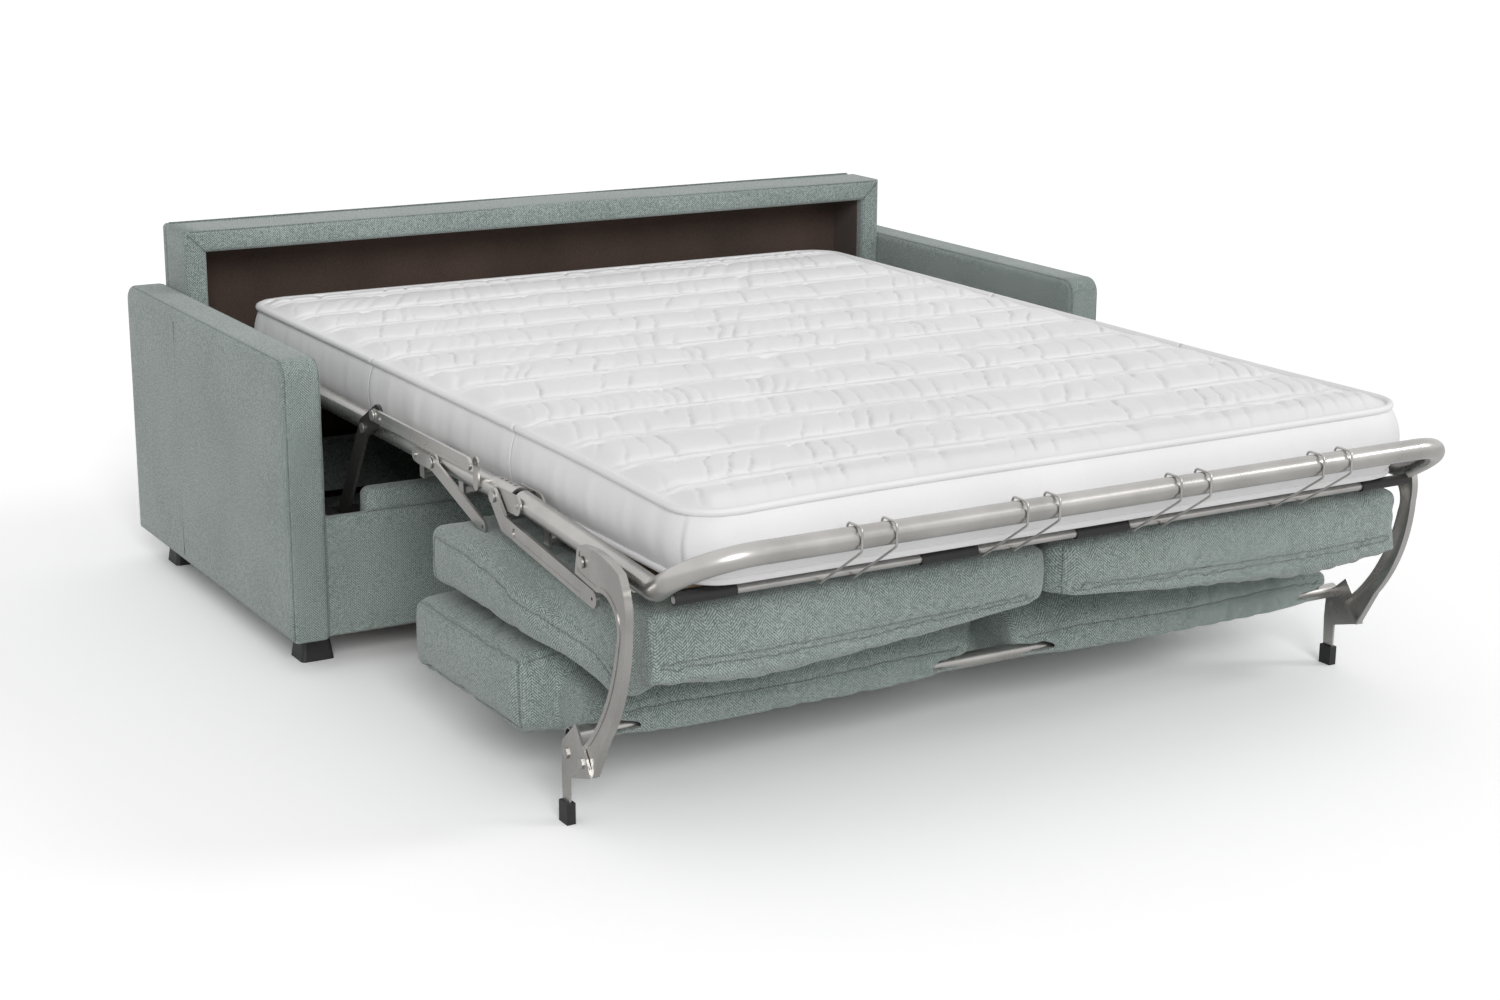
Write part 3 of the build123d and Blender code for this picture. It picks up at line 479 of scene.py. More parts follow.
def piping_paths(rim, rows, round_start, round_stop):
    """Paths of both pipings along the sewn sides of a length, from the loop of its rim."""
    around = COLUMNS - 1
    if round_stop:
        sides = [list(range(rows + around + rows - 1))]
    elif round_start:
        sides = [list(range(rows - 1, -1, -1)) + list(range(len(rim) - 1, rows + around - 2, -1))]
    else:
        sides = [list(range(rows)), list(range(rows + around - 1, rows + around + rows - 1))]
    paths = []
    for order in sides:
        keep = order[:-1:2] + order[-1:]
        low_path = rim[keep]
        low_path[:, 2] = MATTRESS_LOW + PIPING_RISE
        paths += [rim[keep], low_path]
    return paths


def mattress_length(name, start, stop, round_start, round_stop):
    """Closed length with quilted top and bulging sides, plus the paths of its two pipings."""
    stations = mattress_stations(start, stop, round_start, round_stop)
    half = np.full(len(stations), PIPING_HALF)
    for rounded, gap in ((round_start, stations - start), (round_stop, stop - stations)):
        if rounded:
            inside = np.clip(CORNER - gap, 0, None)
            half -= CORNER - np.sqrt(np.clip(CORNER ** 2 - inside ** 2, 0, None))
    share = np.linspace(-1, 1, COLUMNS)
    share = np.sin(share * math.pi / 2 * COLUMN_CROWDING) / math.sin(math.pi / 2 * COLUMN_CROWDING)
    x = half[:, None] * share[None, :]
    y = np.repeat(stations[:, None], COLUMNS, axis=1)
    edge = half[:, None] - np.abs(x)
    if round_start:
        edge = np.minimum(edge, y - start)
    if round_stop:
        edge = np.minimum(edge, stop - y)
    top = quilted_top(x, y, edge)
    rows = len(stations)
    points = np.stack((x, at(y), top), axis=2).reshape(-1, 3)
    grid = np.arange(rows * COLUMNS).reshape(rows, COLUMNS)
    low_grid = grid + rows * COLUMNS
    low = points.copy()
    low[:, 2] = SOLE
    loop = list(grid[:, 0]) + list(grid[-1, 1:]) + list(grid[-2::-1, -1]) + list(grid[0, -2:0:-1])
    rim = points[loop]
    ahead = np.roll(rim, -1, axis=0)[:, :2] - np.roll(rim, 1, axis=0)[:, :2]
    outward = np.stack((-ahead[:, 1], ahead[:, 0]), axis=1)
    outward /= np.linalg.norm(outward, axis=1)[:, None]
    end_bulge = FOOT_BULGE if round_start else SIDE_BULGE
    reach = np.where(np.abs(outward[:, 1]) > END_FACING, end_bulge, SIDE_BULGE)
    cuts = [end for end, rounded in ((start, round_start), (stop, round_stop)) if not rounded]
    for end in cuts:
        cut = np.abs(rim[:, 1] - at(end)) < CUT_GAP
        flat = cut & (np.abs(np.abs(rim[:, 0]) - PIPING_HALF) > CUT_GAP)
        outward[cut] = np.stack((np.sign(rim[cut, 0]), np.zeros(cut.sum())), axis=1)
        reach[cut] = SIDE_BULGE
        reach[flat] = 0.0
    ring = [np.array(loop)]
    extra = []
    count = 2 * rows * COLUMNS
    creases = ripple(WALL_SEED, rim[:, 0] + WALL_SKEW * rim[:, 1], 0.09)
    for level in range(1, WALL_LEVELS):
        down = level / WALL_LEVELS
        belly = math.sin(math.pi * down) ** 0.7
        wall = rim.copy()
        wall[:, 2] = rim[:, 2] + (SOLE - rim[:, 2]) * down
        push = reach * belly + np.where(reach > 0, WALL_CREASE * creases * belly, 0)
        wall[:, :2] += outward * push[:, None]
        extra.append(wall)
        ring.append(np.arange(count, count + len(loop)))
        count += len(loop)
    ring.append(low_grid.ravel()[loop])
    faces = []
    upper = (grid[:-1, :-1], grid[:-1, 1:], grid[1:, 1:], grid[1:, :-1])
    lower = (low_grid[:-1, :-1], low_grid[1:, :-1], low_grid[1:, 1:], low_grid[:-1, 1:])
    for corners in (upper, lower):
        faces.extend(np.stack(corners, axis=2).reshape(-1, 4).tolist())
    for upper, lower in zip(ring, ring[1:]):
        corners = (upper, np.roll(upper, -1), np.roll(lower, -1), lower)
        faces.extend(np.stack(corners, axis=1).tolist())
    piece = new_piece(name, np.concatenate([points, low, *extra]), faces, ticking)
    for polygon in piece.data.polygons:
        if abs(polygon.normal.y) > CUT_FACING:
            centre = polygon.center.y - FOOT_LINE
            if any(abs(centre - end) < CUT_FACE_GAP for end in cuts):
                polygon.use_smooth = False
    sewn_rim = rim + np.concatenate([outward * PIPING_OUT, np.zeros((len(rim), 1))], axis=1)
    return piece, piping_paths(sewn_rim, rows, round_start, round_stop)


def make_mattress():
    """Three lengths, each with its span, rounded ends, bend, two bodies and CAD nodes."""
    lengths = (
        ("mattress_foot_length", (PIPING_FOOT, FRONT_SEAM), (True, False), (0.60, 0.34),
         ("middle_section", "foot_section"), ("mattress_foot", "mattress_front_fold")),
        ("mattress_middle_length", (FRONT_SEAM, REAR_SEAM), (False, False), (0.95, 0.68),
         ("main_section", "middle_section"), ("mattress_middle", "mattress_rear_fold")),
        ("mattress_head_length", (REAR_SEAM, MATTRESS_HEAD), (False, True), (1.58, 1.68),
         ("main_section", "head_section"), ("mattress_main", "mattress_head")),
    )
    for name, span, rounded, (bend_from, bend_to), (body, far_body), stands_for in lengths:
        piece, paths = mattress_length(name, *span, *rounded)
        piping = tubes(name + "_piping", paths, PIPING_RADIUS, ticking)
        # These threads are darker than the ticking partly as painted shade of the stitched grooves.
        threads = tubes(name + "_threads", stitch_paths(*span), THREAD_RADIUS, thread_with_painted_shade, 6)
        for item in (piece, piping, threads):
            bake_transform(item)
        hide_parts(*stands_for)


make_mattress()

# Upholstered body: padded slabs with rounded corners and sewn edges

SWELL_RUN = 0.045
ARM_CORNER, ARM_EDGE, ARM_PUFF, ARM_THICK = 0.034, 0.013, 0.0035, 0.078
ARM_WAVE, ARM_SEAM_INSET, ARM_SEAM_SUNK = 0.0011, 0.006, 0.0035
SIDE_SEAM_SHARE, SIDE_SEAM_OUT = 0.66, 0.0022
EDGE_CORD, SIDE_CORD, THIN_CORD = 0.0022, 0.0013, 0.0016
ROLL_DEEP, ROLL_HIGH, ROLL_GAP, ROLL_SET_BACK, ROLL_SUNK = 0.050, 0.046, 0.010, 0.003, 0.006
DUST_INSET, DUST_LAP, DUST_CLEAR = 0.052, 0.010, 0.022
ARM_LONG_SEED, ARM_UPRIGHT_SEED, SAG_SEED = 5, 8, 31
BACK_RIM, BACK_EDGE, BACK_BOARD, BACK_PUFF, BACK_SAG = 0.048, 0.010, 0.020, 0.0025, 0.0025
MITRE_SUNK = 0.0012


def corner_distance(across, up, low, high, radius):
    """Distance inside a rectangle with two rounded upper corners, and the direction outward."""

    def inside(a, b):
        middle, half = (low[0] + high[0]) / 2, (high[0] - low[0]) / 2
        plain = np.minimum(np.minimum(half - np.abs(a - middle), high[1] - b), b - low[1])
        da = np.abs(a - middle) - (half - radius)
        db = b - (high[1] - radius)
        rounded = radius - np.hypot(np.clip(da, 0, None), np.clip(db, 0, None))
        return np.where((da > 0) & (db > 0), np.minimum(plain, rounded), plain)

    step = 1e-5
    slope = np.stack((inside(across + step, up) - inside(across - step, up),
                      inside(across, up + step) - inside(across, up - step)), axis=-1)
    size = np.linalg.norm(slope, axis=-1, keepdims=True)
    return inside(across, up), -slope / np.where(size > 0, size, 1)


def spread(low, high, edge, step):
    """Places from low to high, close together near both ends."""
    fine = np.array((0.0, 0.12, 0.3, 0.5, 0.72, 1.0)) * edge
    count = max(2, int((high - low - 2 * edge) / step))
    body = np.linspace(low + edge, high - edge, count + 1)[1:-1]
    return np.concatenate((low + fine, body, high - fine[::-1]))


def slab(name, low, high, thin, material, corner, edge, puff, step=0.012):
    """Padded slab, thin along axis number thin, with two rounded upper corners and soft edges."""
    low, high = np.array(low), np.array(high)
    wide = [axis for axis in range(3) if axis not in (thin, 2)][0]
    lists = []
    for axis in range(3):
        soft = max(edge, corner if axis != thin else 0)
        lists.append(spread(low[axis], high[axis], min(soft, 0.45 * (high - low)[axis]), step))
    points, index, faces = [], {}, []

    def vertex(key):
        if key not in index:
            index[key] = len(points)
            points.append([lists[axis][key[axis]] for axis in range(3)])
        return index[key]

    sizes = [len(values) - 1 for values in lists]
    for axis in range(3):
        first, second = [other for other in range(3) if other != axis]
        for end in (0, sizes[axis]):
            for i in range(sizes[first]):
                for j in range(sizes[second]):
                    corners = []
                    for di, dj in ((0, 0), (1, 0), (1, 1), (0, 1)):
                        key = [0, 0, 0]
                        key[axis], key[first], key[second] = end, i + di, j + dj
                        corners.append(vertex(tuple(key)))
                    flip = (end == 0) != (axis == 1)
                    faces.append(corners[::-1] if flip else corners)
    points = np.array(points)
    square = points[:, [wide, 2]].copy()
    middle = (low[wide] + high[wide]) / 2
    flat_half, shoulder = (high - low)[wide] / 2 - corner, high[2] - corner
    run = np.abs(square[:, 0] - middle) - flat_half
    rise = square[:, 1] - shoulder
    both = (run > 0) & (rise > 0)
    reach = np.maximum(run, rise) / np.where(both, np.hypot(run, rise), 1)
    sign = np.sign(square[:, 0] - middle)
    square[both, 0] = (middle + sign * (flat_half + run * reach))[both]
    square[both, 1] = (shoulder + rise * reach)[both]
    low_corner, high_corner = (low[wide], low[2]), (high[wide], high[2])
    depth, outward = corner_distance(square[:, 0], square[:, 1], low_corner, high_corner, corner)
    depth = np.clip(depth, 0, None)
    centre = (low[thin] + high[thin]) / 2
    half = (high - low)[thin] / 2
    away = points[:, thin] - centre
    u = np.clip(np.abs(away) - (half - edge), 0, None)
    v = np.clip(edge - depth, 0, None)
    length = np.hypot(u, v)
    scale = np.where(length > 0, np.maximum(u, v) / np.where(length > 0, length, 1), 1)
    moved = np.where((u > 0) & (v > 0), scale, 1)
    shift = v - v * moved
    square -= outward * shift[:, None]
    points[:, wide], points[:, 2] = square[:, 0], square[:, 1]
    points[:, thin] = centre + np.sign(away) * (np.abs(away) - (u - u * moved))
    swell = puff * (1 - np.exp(-depth / SWELL_RUN)) * np.clip(np.abs(away) / half, 0, 1) ** 4
    points[:, thin] += np.sign(away) * swell
    return new_piece(name, points, faces, material)


def dress(piece, body, slot_name, *stands_for):
    """Fix a piece to its body and hide the CAD nodes it stands for; slot_name is not used."""
    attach(piece, body)
    if stands_for:
        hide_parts(*stands_for)


def arm_cords(side, low, high):
    """Seam paths along both edges of one arm, up its front and along its top."""
    outer = (high if side > 0 else low)[0]
    turn = np.linspace(0, math.pi / 2, 7)
    front, back, top, foot = low[1], high[1], high[2], low[2]
    radius = ARM_CORNER - ARM_SEAM_SUNK
    paths = []
    for x in (outer - side * ARM_SEAM_INSET, outer - side * (ARM_THICK - ARM_SEAM_INSET)):
        heights = np.linspace(foot + 0.006, top - ARM_CORNER, 26)
        path = [(x, front + ARM_SEAM_SUNK, z) for z in heights]
        for angle in turn[1:]:
            y = front + ARM_CORNER - radius * math.cos(angle)
            path.append((x, y, top - ARM_CORNER + radius * math.sin(angle)))
        run = np.linspace(front + ARM_CORNER, back - ARM_CORNER, 50)
        path += [(x, y, top - ARM_SEAM_SUNK) for y in run[1:]]
        paths.append(path)
    return paths


def upright_seam(side, low, high):
    """Path of the seam that runs up the outer side of one arm."""
    x = (high if side > 0 else low)[0] + side * SIDE_SEAM_OUT
    y = low[1] + SIDE_SEAM_SHARE * (high[1] - low[1])
    heights = np.linspace(low[2] + 0.02, high[2] - 0.03, 24)
    return [(x, y + 0.002 * math.sin(9 * z), z) for z in heights]


def make_body():
    for side, side_name in SIDES:
        low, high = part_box(side_name + "_arm")
        arm = slab(side_name + "_arm_cover", low, high, 0, upholstery,
                   ARM_CORNER, ARM_EDGE, ARM_PUFF)
        points = points_of(arm)
        lengthwise = ripple(ARM_LONG_SEED + side, points[:, 1], 0.33)
        upright = ripple(ARM_UPRIGHT_SEED + side, points[:, 2], 0.27)
        points[:, 0] += side * ARM_WAVE * lengthwise * upright
        set_points(arm, points)
        dress(arm, "sofa_body", "upholstery", side_name + "_arm")
        cords = tubes(side_name + "_arm_seams", arm_cords(side, low, high), EDGE_CORD, seam_cloth)
        dress(cords, "sofa_body", "upholstery")
        seam_path = upright_seam(side, low, high)
        seam = tubes(side_name + "_arm_side_seam", [seam_path], SIDE_CORD, seam_cloth)
        dress(seam, "sofa_body", "upholstery")

    low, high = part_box("front_panel")
    panel = slab("front_panel_cover", low, high, 1, upholstery,
                 corner=0.008, edge=0.008, puff=0.003, step=0.02)
    dress(panel, "sofa_body", "upholstery", "front_panel")
    roll_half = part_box("mechanism_bracket_right")[0][0] - ROLL_GAP
    roll_low = (-roll_half, low[1] + ROLL_SET_BACK, high[2] - ROLL_SUNK)
    roll_high = (roll_half, low[1] + ROLL_DEEP, high[2] + ROLL_HIGH)
    roll = slab("front_panel_roll", roll_low, roll_high, 1, upholstery,
                corner=0.018, edge=0.020, puff=0.002, step=0.03)
    dress(roll, "sofa_body", "upholstery")
    cloth_low, cloth_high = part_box("base_cloth")
    back_low, back_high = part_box("back_box")
    cover_low = (back_low[0] + DUST_INSET, cloth_high[1] - DUST_LAP, cloth_low[2])
    cover_high = (back_high[0] - DUST_INSET, back_high[1] - DUST_CLEAR, cloth_high[2])
    cover = slab("back_dust_cover", cover_low, cover_high, 0, lining_felt,
                 corner=0.0015, edge=0.0012, puff=0.0, step=0.05)
    dress(cover, "sofa_body", "lining_felt")
    make_back()


def rim_loop(deep):
    """Closed outline of the padded frame, across its rim and deep into it, with rounded corners."""
    rim, edge = BACK_RIM, BACK_EDGE
    loop = []
    for centre_a, centre_b, begin in ((rim - edge, edge, -90), (rim - edge, deep - edge, 0),
                                      (edge, deep - edge, 90), (edge, edge, 180)):
        for turn in np.linspace(0, 90, 6):
            angle = math.radians(begin + turn)
            loop.append((centre_a + edge * math.cos(angle), centre_b + edge * math.sin(angle)))
    dense = []
    for first, second in zip(loop, loop[1:] + loop[:1]):
        first, second = np.array(first), np.array(second)
        parts = max(1, int(math.hypot(*(second - first)) / 0.016))
        dense += [tuple(first + (second - first) * k / parts) for k in range(parts)]
    return np.array(dense)


def make_back():
    """Padded frame of the back, mitred at its two corners, with the board behind it."""
    low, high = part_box("back_box")
    rim = BACK_RIM
    front, back = low[1], high[1]
    loop = rim_loop(back - front - BACK_BOARD)
    half, top, foot = high[0] - 0.001, high[2], low[2]
    corner_z = top - rim
    near = np.array((0.0, 0.004, 0.010, 0.022))
    posts = np.concatenate((np.linspace(foot, top - rim - 0.03, 34), top - rim - near[:0:-1]))
    run = np.linspace(-half + rim + 0.03, half - rim - 0.03, 90)
    run = np.concatenate((-half + rim + near[1:], run, half - rim - near[:0:-1]))

    def puffed(a, b, room):
        puff = BACK_PUFF * min(1.0, room / 0.05)
        return front + b - puff * (b < 0.02) * math.sin(math.pi * a / rim)

    def post_ring(side, z):
        return [(side * (half - rim + a), puffed(a, b, top - rim - z), z) for a, b in loop]

    def mitre_ring(side):
        sunk = [front + b + MITRE_SUNK * (b < 0.004) for _, b in loop]
        return [(side * (half - rim + a), y, corner_z + a) for (a, _), y in zip(loop, sunk)]

    def top_ring(x):
        sag = BACK_SAG * ripple(SAG_SEED, np.array([x]), 0.8)[0]
        room = half - rim - abs(x)
        return [(x, puffed(a, b, room), corner_z + a + sag * (a > rim / 2)) for a, b in loop]

    rings = [post_ring(-1, z) for z in posts]
    rings.append(mitre_ring(-1))
    rings += [top_ring(x) for x in run]
    rings.append(mitre_ring(1))
    rings += [post_ring(1, z) for z in posts[::-1]]
    points = [point for ring in rings for point in ring]
    count, faces = len(loop), []
    for ring in range(len(rings) - 1):
        for step in range(count):
            a, b = ring * count + step, ring * count + (step + 1) % count
            faces.append((a, a + count, b + count, b))
    faces.append(list(range(count)))
    faces.append([(len(rings) - 1) * count + step for step in reversed(range(count))])
    frame_piece = new_piece("back_frame_cover", points, faces, upholstery)
    dress(frame_piece, "sofa_body", "upholstery", "back_box")
    board_low = (low[0] + 0.001, back - 0.0205, low[2])
    board_high = (high[0] - 0.001, back, high[2] - 0.0005)
    cover = slab("back_board_cover", board_low, board_high, 1, upholstery,
                 corner=0.010, edge=0.006, puff=0.002, step=0.03)
    dress(cover, "sofa_body", "upholstery")
    rear = [(x, back - 0.016, top + 0.0004) for x in np.linspace(-half + 0.01, half - 0.01, 60)]
    lip = [(x, front + 0.004, top - 0.003) for x in np.linspace(-half + 0.012, half - 0.012, 60)]
    slope = np.linspace(0.002, rim - 0.006, 12)
    mitres = []
    for side, _ in SIDES:
        mitres.append([(side * (half - rim + a), front + 0.0006, corner_z + a) for a in slope])
    cords = tubes("back_seams", [rear, lip, *mitres], THIN_CORD, seam_cloth)
    dress(cords, "sofa_body", "upholstery")


make_body()

# Seat and back cushions: cloth inflated over the foam forms, then sewn and creased

VOXEL = 0.0075
SIM_FRAMES = 20
PRESSURE, MOVE_CAP = 4.0, 0.020

NOTCH_HALF, NOTCH_DEEP, NOTCH_FROM, NOTCH_RUN = 0.055, 0.034, 0.02, 0.25
SAG_CORNER_FORWARD, SAG_CORNER_DOWN = 0.035, 0.042
SAG_EDGE_FORWARD, SAG_EDGE_DOWN = 0.014, 0.024
EAR_FROM, EAR_DRAWN_IN = 0.785, 0.9
SLEEVE_MIDDLE, SLEEVE_SQUEEZE, SLEEVE_FORWARD, SLEEVE_RISE = 0.172, 0.34, 0.012, 0.046
SEAT_HEM, HEM_LINES, HEM_REACH = 0.304, (0.318, 0.305), 0.09
ROD_PLACE, ROD_HEIGHT, ROD_HELD = 0.235, 0.152, 0.030
SEAT_HELD, HEM_HELD, LAP_HELD, LAP_FROM, SOLE_HELD = 0.012, 0.010, 0.010, 0.45, 0.004
EAR_SEAM = ((0.125, 0.268), (0.19, 0.302), (0.30, 0.335), (0.44, 0.362),
            (0.56, 0.380), (0.70, 0.380), (0.705, 0.34), (0.70, 0.298))
BACK_SEAM = ((0.36, 0.118), (0.36, 0.252), (0.785, 0.252), (0.785, 0.118), (0.36, 0.118))
SEAT_SEED, BACK_SEED = 21, 61
CORNER_CREASES, FRONT_CREASES, SLEEVE_CREASES = 9, 6, 16
HEM_GROOVE, EAR_GROOVE, SEAT_CREASE = (0.0045, 0.0065), (0.0040, 0.0070), (0.0042, 0.0085)
BACK_GROOVE, SLEEVE_GROOVE, BACK_CREASE = (0.0045, 0.0070), (0.0040, 0.0060), (0.0040, 0.0080)


def foam(name, node):
    """New object: an even mesh over a CAD cushion."""
    piece = bpy.data.objects.new(name, nodes[node].data.copy())
    bpy.context.scene.collection.objects.link(piece)
    assign(piece.modifiers.new("even", "REMESH"), mode="VOXEL", voxel_size=VOXEL)
    assign(piece.modifiers.new("smooth", "SMOOTH"), factor=0.5, iterations=8)
    graph = bpy.context.evaluated_depsgraph_get()
    mesh = bpy.data.meshes.new_from_object(piece.evaluated_get(graph))
    piece.modifiers.clear()
    piece.data = mesh
    mesh.materials.clear()
    mesh.materials.append(upholstery)
    mesh.polygons.foreach_set("use_smooth", [True] * len(mesh.polygons))
    return piece


def inflate(pieces, held):
    """Blow the pieces up as cloth, with the held vertices fixed and each move under MOVE_CAP."""
    scene = bpy.context.scene
    before = [points_of(piece) for piece in pieces]
    for piece, fixed in zip(pieces, held):
        group = piece.vertex_groups.new(name="held")
        group.add([int(number) for number in np.nonzero(fixed)[0]], 1.0, "REPLACE")
        cloth = piece.modifiers.new("cloth", "CLOTH")
        assign(cloth.settings, quality=4, mass=0.3, tension_stiffness=10.0,
               compression_stiffness=10.0, shear_stiffness=4.0, bending_stiffness=0.25,
               shrink_min=-0.035, use_pressure=True, uniform_pressure_force=PRESSURE,
               vertex_group_mass="held")
        cloth.settings.effector_weights.gravity = 0.0
        cloth.collision_settings.use_collision = False
        assign(cloth.point_cache, frame_start=1, frame_end=SIM_FRAMES)
    for number in range(1, SIM_FRAMES + 1):
        scene.frame_set(number)
    graph = bpy.context.evaluated_depsgraph_get()
    after = []
    for piece in pieces:
        shown = piece.evaluated_get(graph).to_mesh()
        after.append(triples(shown.vertices, "co"))
        piece.evaluated_get(graph).to_mesh_clear()
    for piece, old, new in zip(pieces, before, after):
        piece.modifiers.clear()
        piece.vertex_groups.clear()
        move = new - old
        size = np.linalg.norm(move, axis=1, keepdims=True)
        set_points(piece, old + move * (MOVE_CAP / (MOVE_CAP + size)))
    scene.frame_set(1)


def on_surface(piece, path):
    """The path's places moved to the nearest place on the piece."""
    return [piece.closest_point_on_mesh(Vector(place))[1] for place in path]


def sew(piece, paths, depth, width):
    """Press grooves of this depth and width into the piece along paths."""
    points, normals = points_of(piece), normals_of(piece)
    pressed = np.zeros(len(points))
    for path in paths:
        path = np.array([tuple(place) for place in path])
        low, high = path.min(axis=0) - 4 * width, path.max(axis=0) + 4 * width
        near = np.nonzero(((points > low) & (points < high)).all(axis=1))[0]
        if len(near) == 0:
            continue
        gap = np.full(len(near), 1.0)
        for first, second in zip(path, path[1:]):
            along = second - first
            share = np.clip(((points[near] - first) @ along) / max(along @ along, 1e-12), 0, 1)
            away = points[near] - first - share[:, None] * along
            gap = np.minimum(gap, np.linalg.norm(away, axis=1))
        pressed[near] = np.maximum(pressed[near], np.exp(-((gap / width) ** 2)))
    set_points(piece, points - normals * (depth * pressed)[:, None])


def outline(corners, count):
    """Places along the straight runs between corners, count to each run."""
    places = []
    for first, last in zip(corners, corners[1:]):
        first, last = np.array(first), np.array(last)
        places += [tuple(first + (last - first) * step / (count - 1)) for step in range(count)]
    return places


def sag_seat(points, side):
    """Let the wide corner and the outer lower edge of a seat cushion hang under the links."""
    x, front = np.abs(points[:, 0]), points[:, 1] - FOOT_LINE
    lower = ease(points[:, 2], 0.37, 0.31)
    corner = ease(front, 0.40, 0.18) * ease(front, 0.07, 0.15) * ease(x, 0.70, 0.76)
    points[:, 0] -= side * EAR_DRAWN_IN * ease(front, 0.40, 0.20) * np.clip(x - EAR_FROM, 0, None)
    points[:, 1] -= SAG_CORNER_FORWARD * corner * lower * ease(front, 0.30, 0.16)
    points[:, 2] -= SAG_CORNER_DOWN * corner * lower
    edge = ease(front, 0.16, 0.05) * lower * ease(x, 0.10, 0.60)
    points[:, 1] -= SAG_EDGE_FORWARD * edge
    points[:, 2] -= SAG_EDGE_DOWN * edge


def draw_sleeve(points):
    """Draw a back cushion's sleeve round its tube and raise the cloth up to the seat cushion."""
    x, front = np.abs(points[:, 0]), points[:, 1] - FOOT_LINE
    sleeve = ease(front, 0.335, 0.27)
    points[:, 2] = SLEEVE_MIDDLE + (points[:, 2] - SLEEVE_MIDDLE) * (1 - SLEEVE_SQUEEZE * sleeve)
    along = ease(front, 0.215, 0.31) * ease(front, 0.36, 0.335)
    rise = along * ease(points[:, 2], 0.18, 0.205) * ease(x, 0.74, 0.66)
    points[:, 2] += SLEEVE_RISE * rise
    points[:, 1] -= SLEEVE_FORWARD * sleeve


def make_cushions():
    seats, backs = [], []
    seat_hold, back_hold = [], []
    for side, side_name in SIDES:
        seat = foam("seat_" + side_name, "seat_cushion_" + side_name)
        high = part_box("seat_cushion_" + side_name)[1]
        points = points_of(seat)
        front = points[:, 1] - FOOT_LINE
        notch = np.clip(1 - np.abs(points[:, 0]) / NOTCH_HALF, 0, 1) ** 2
        points[:, 1] += NOTCH_DEEP * notch * np.clip(1 - (front - NOTCH_FROM) / NOTCH_RUN, 0, 1)
        sag_seat(points, side)
        front = points[:, 1] - FOOT_LINE
        set_points(seat, points)
        seats.append(seat)
        rest = points[:, 2] > high[2] - SEAT_HELD
        hem = (np.abs(points[:, 2] - SEAT_HEM) < HEM_HELD) & (front < HEM_REACH)
        seat_hold.append(rest | hem)

        back = foam("back_" + side_name, "back_cushion_" + side_name)
        low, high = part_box("back_cushion_" + side_name)
        points = points_of(back)
        draw_sleeve(points)
        set_points(back, points)
        backs.append(back)
        front = points[:, 1] - FOOT_LINE
        rod = np.hypot(front - ROD_PLACE, points[:, 2] - ROD_HEIGHT)
        lap = (points[:, 2] > high[2] - LAP_HELD) & (front > LAP_FROM)
        back_hold.append((rod < ROD_HELD) | lap | (points[:, 2] < low[2] + SOLE_HELD))
    inflate(seats + backs, seat_hold + back_hold)

    for (side, side_name), seat, back in zip(SIDES, seats, backs):
        finish_seat(side, side_name, seat)
        finish_back(side, side_name, back)


def finish_seat(side, side_name, seat):
    """Hems, the seam round the ear, creases and threads of one seat cushion."""
    low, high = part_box("seat_cushion_" + side_name)
    outer = max(abs(low[0]), abs(high[0]))
    hems = []
    for height in HEM_LINES:
        places = np.linspace(0.03, 0.78, 90)
        path = [(side * x, FOOT_LINE, height + 0.006 * math.sin(3 * x)) for x in places]
        hems.append(on_surface(seat, path))
    around = on_surface(seat, [(side * outer, at(y), z) for y, z in outline(EAR_SEAM, 16)])
    creases = []
    draw = np.random.default_rng(SEAT_SEED + side)
    for _ in range(CORNER_CREASES):
        x = draw.uniform(0.60, 0.79)
        z = draw.uniform(0.345, 0.405)
        size = draw.uniform(0.03, 0.07)
        path = []
        for t in np.linspace(0, 1, 8):
            drop = size * (0.7 * t + 0.3 * t * t)
            path.append((side * (x + size * t), at(0.012 + 0.02 * t), z - drop))
        creases.append(on_surface(seat, path))
    for _ in range(FRONT_CREASES):
        x = draw.uniform(0.05, 0.55)
        path = []
        for t in np.linspace(0, 1, 10):
            rise = 0.05 * draw.uniform(0.2, 1) * t * t
            path.append((side * (x + 0.16 * t), at(0.02), 0.345 + rise))
        creases.append(on_surface(seat, path))
    sew(seat, hems, *HEM_GROOVE)
    sew(seat, [around], *EAR_GROOVE)
    sew(seat, creases, *SEAT_CREASE)
    finish_cushion(seat)
    dress(seat, "foot_section", "upholstery", "seat_cushion_" + side_name)
    threads = [on_surface(seat, path) for path in hems + [around]]
    if side > 0:
        heights = np.linspace(0.30, 0.405, 20)
        threads.append(on_surface(seat, [(0.022, at(0.05), z) for z in heights]))
    cords = tubes("seat_seams_" + side_name, threads, THIN_CORD, seam_cloth)
    dress(cords, "foot_section", "upholstery")


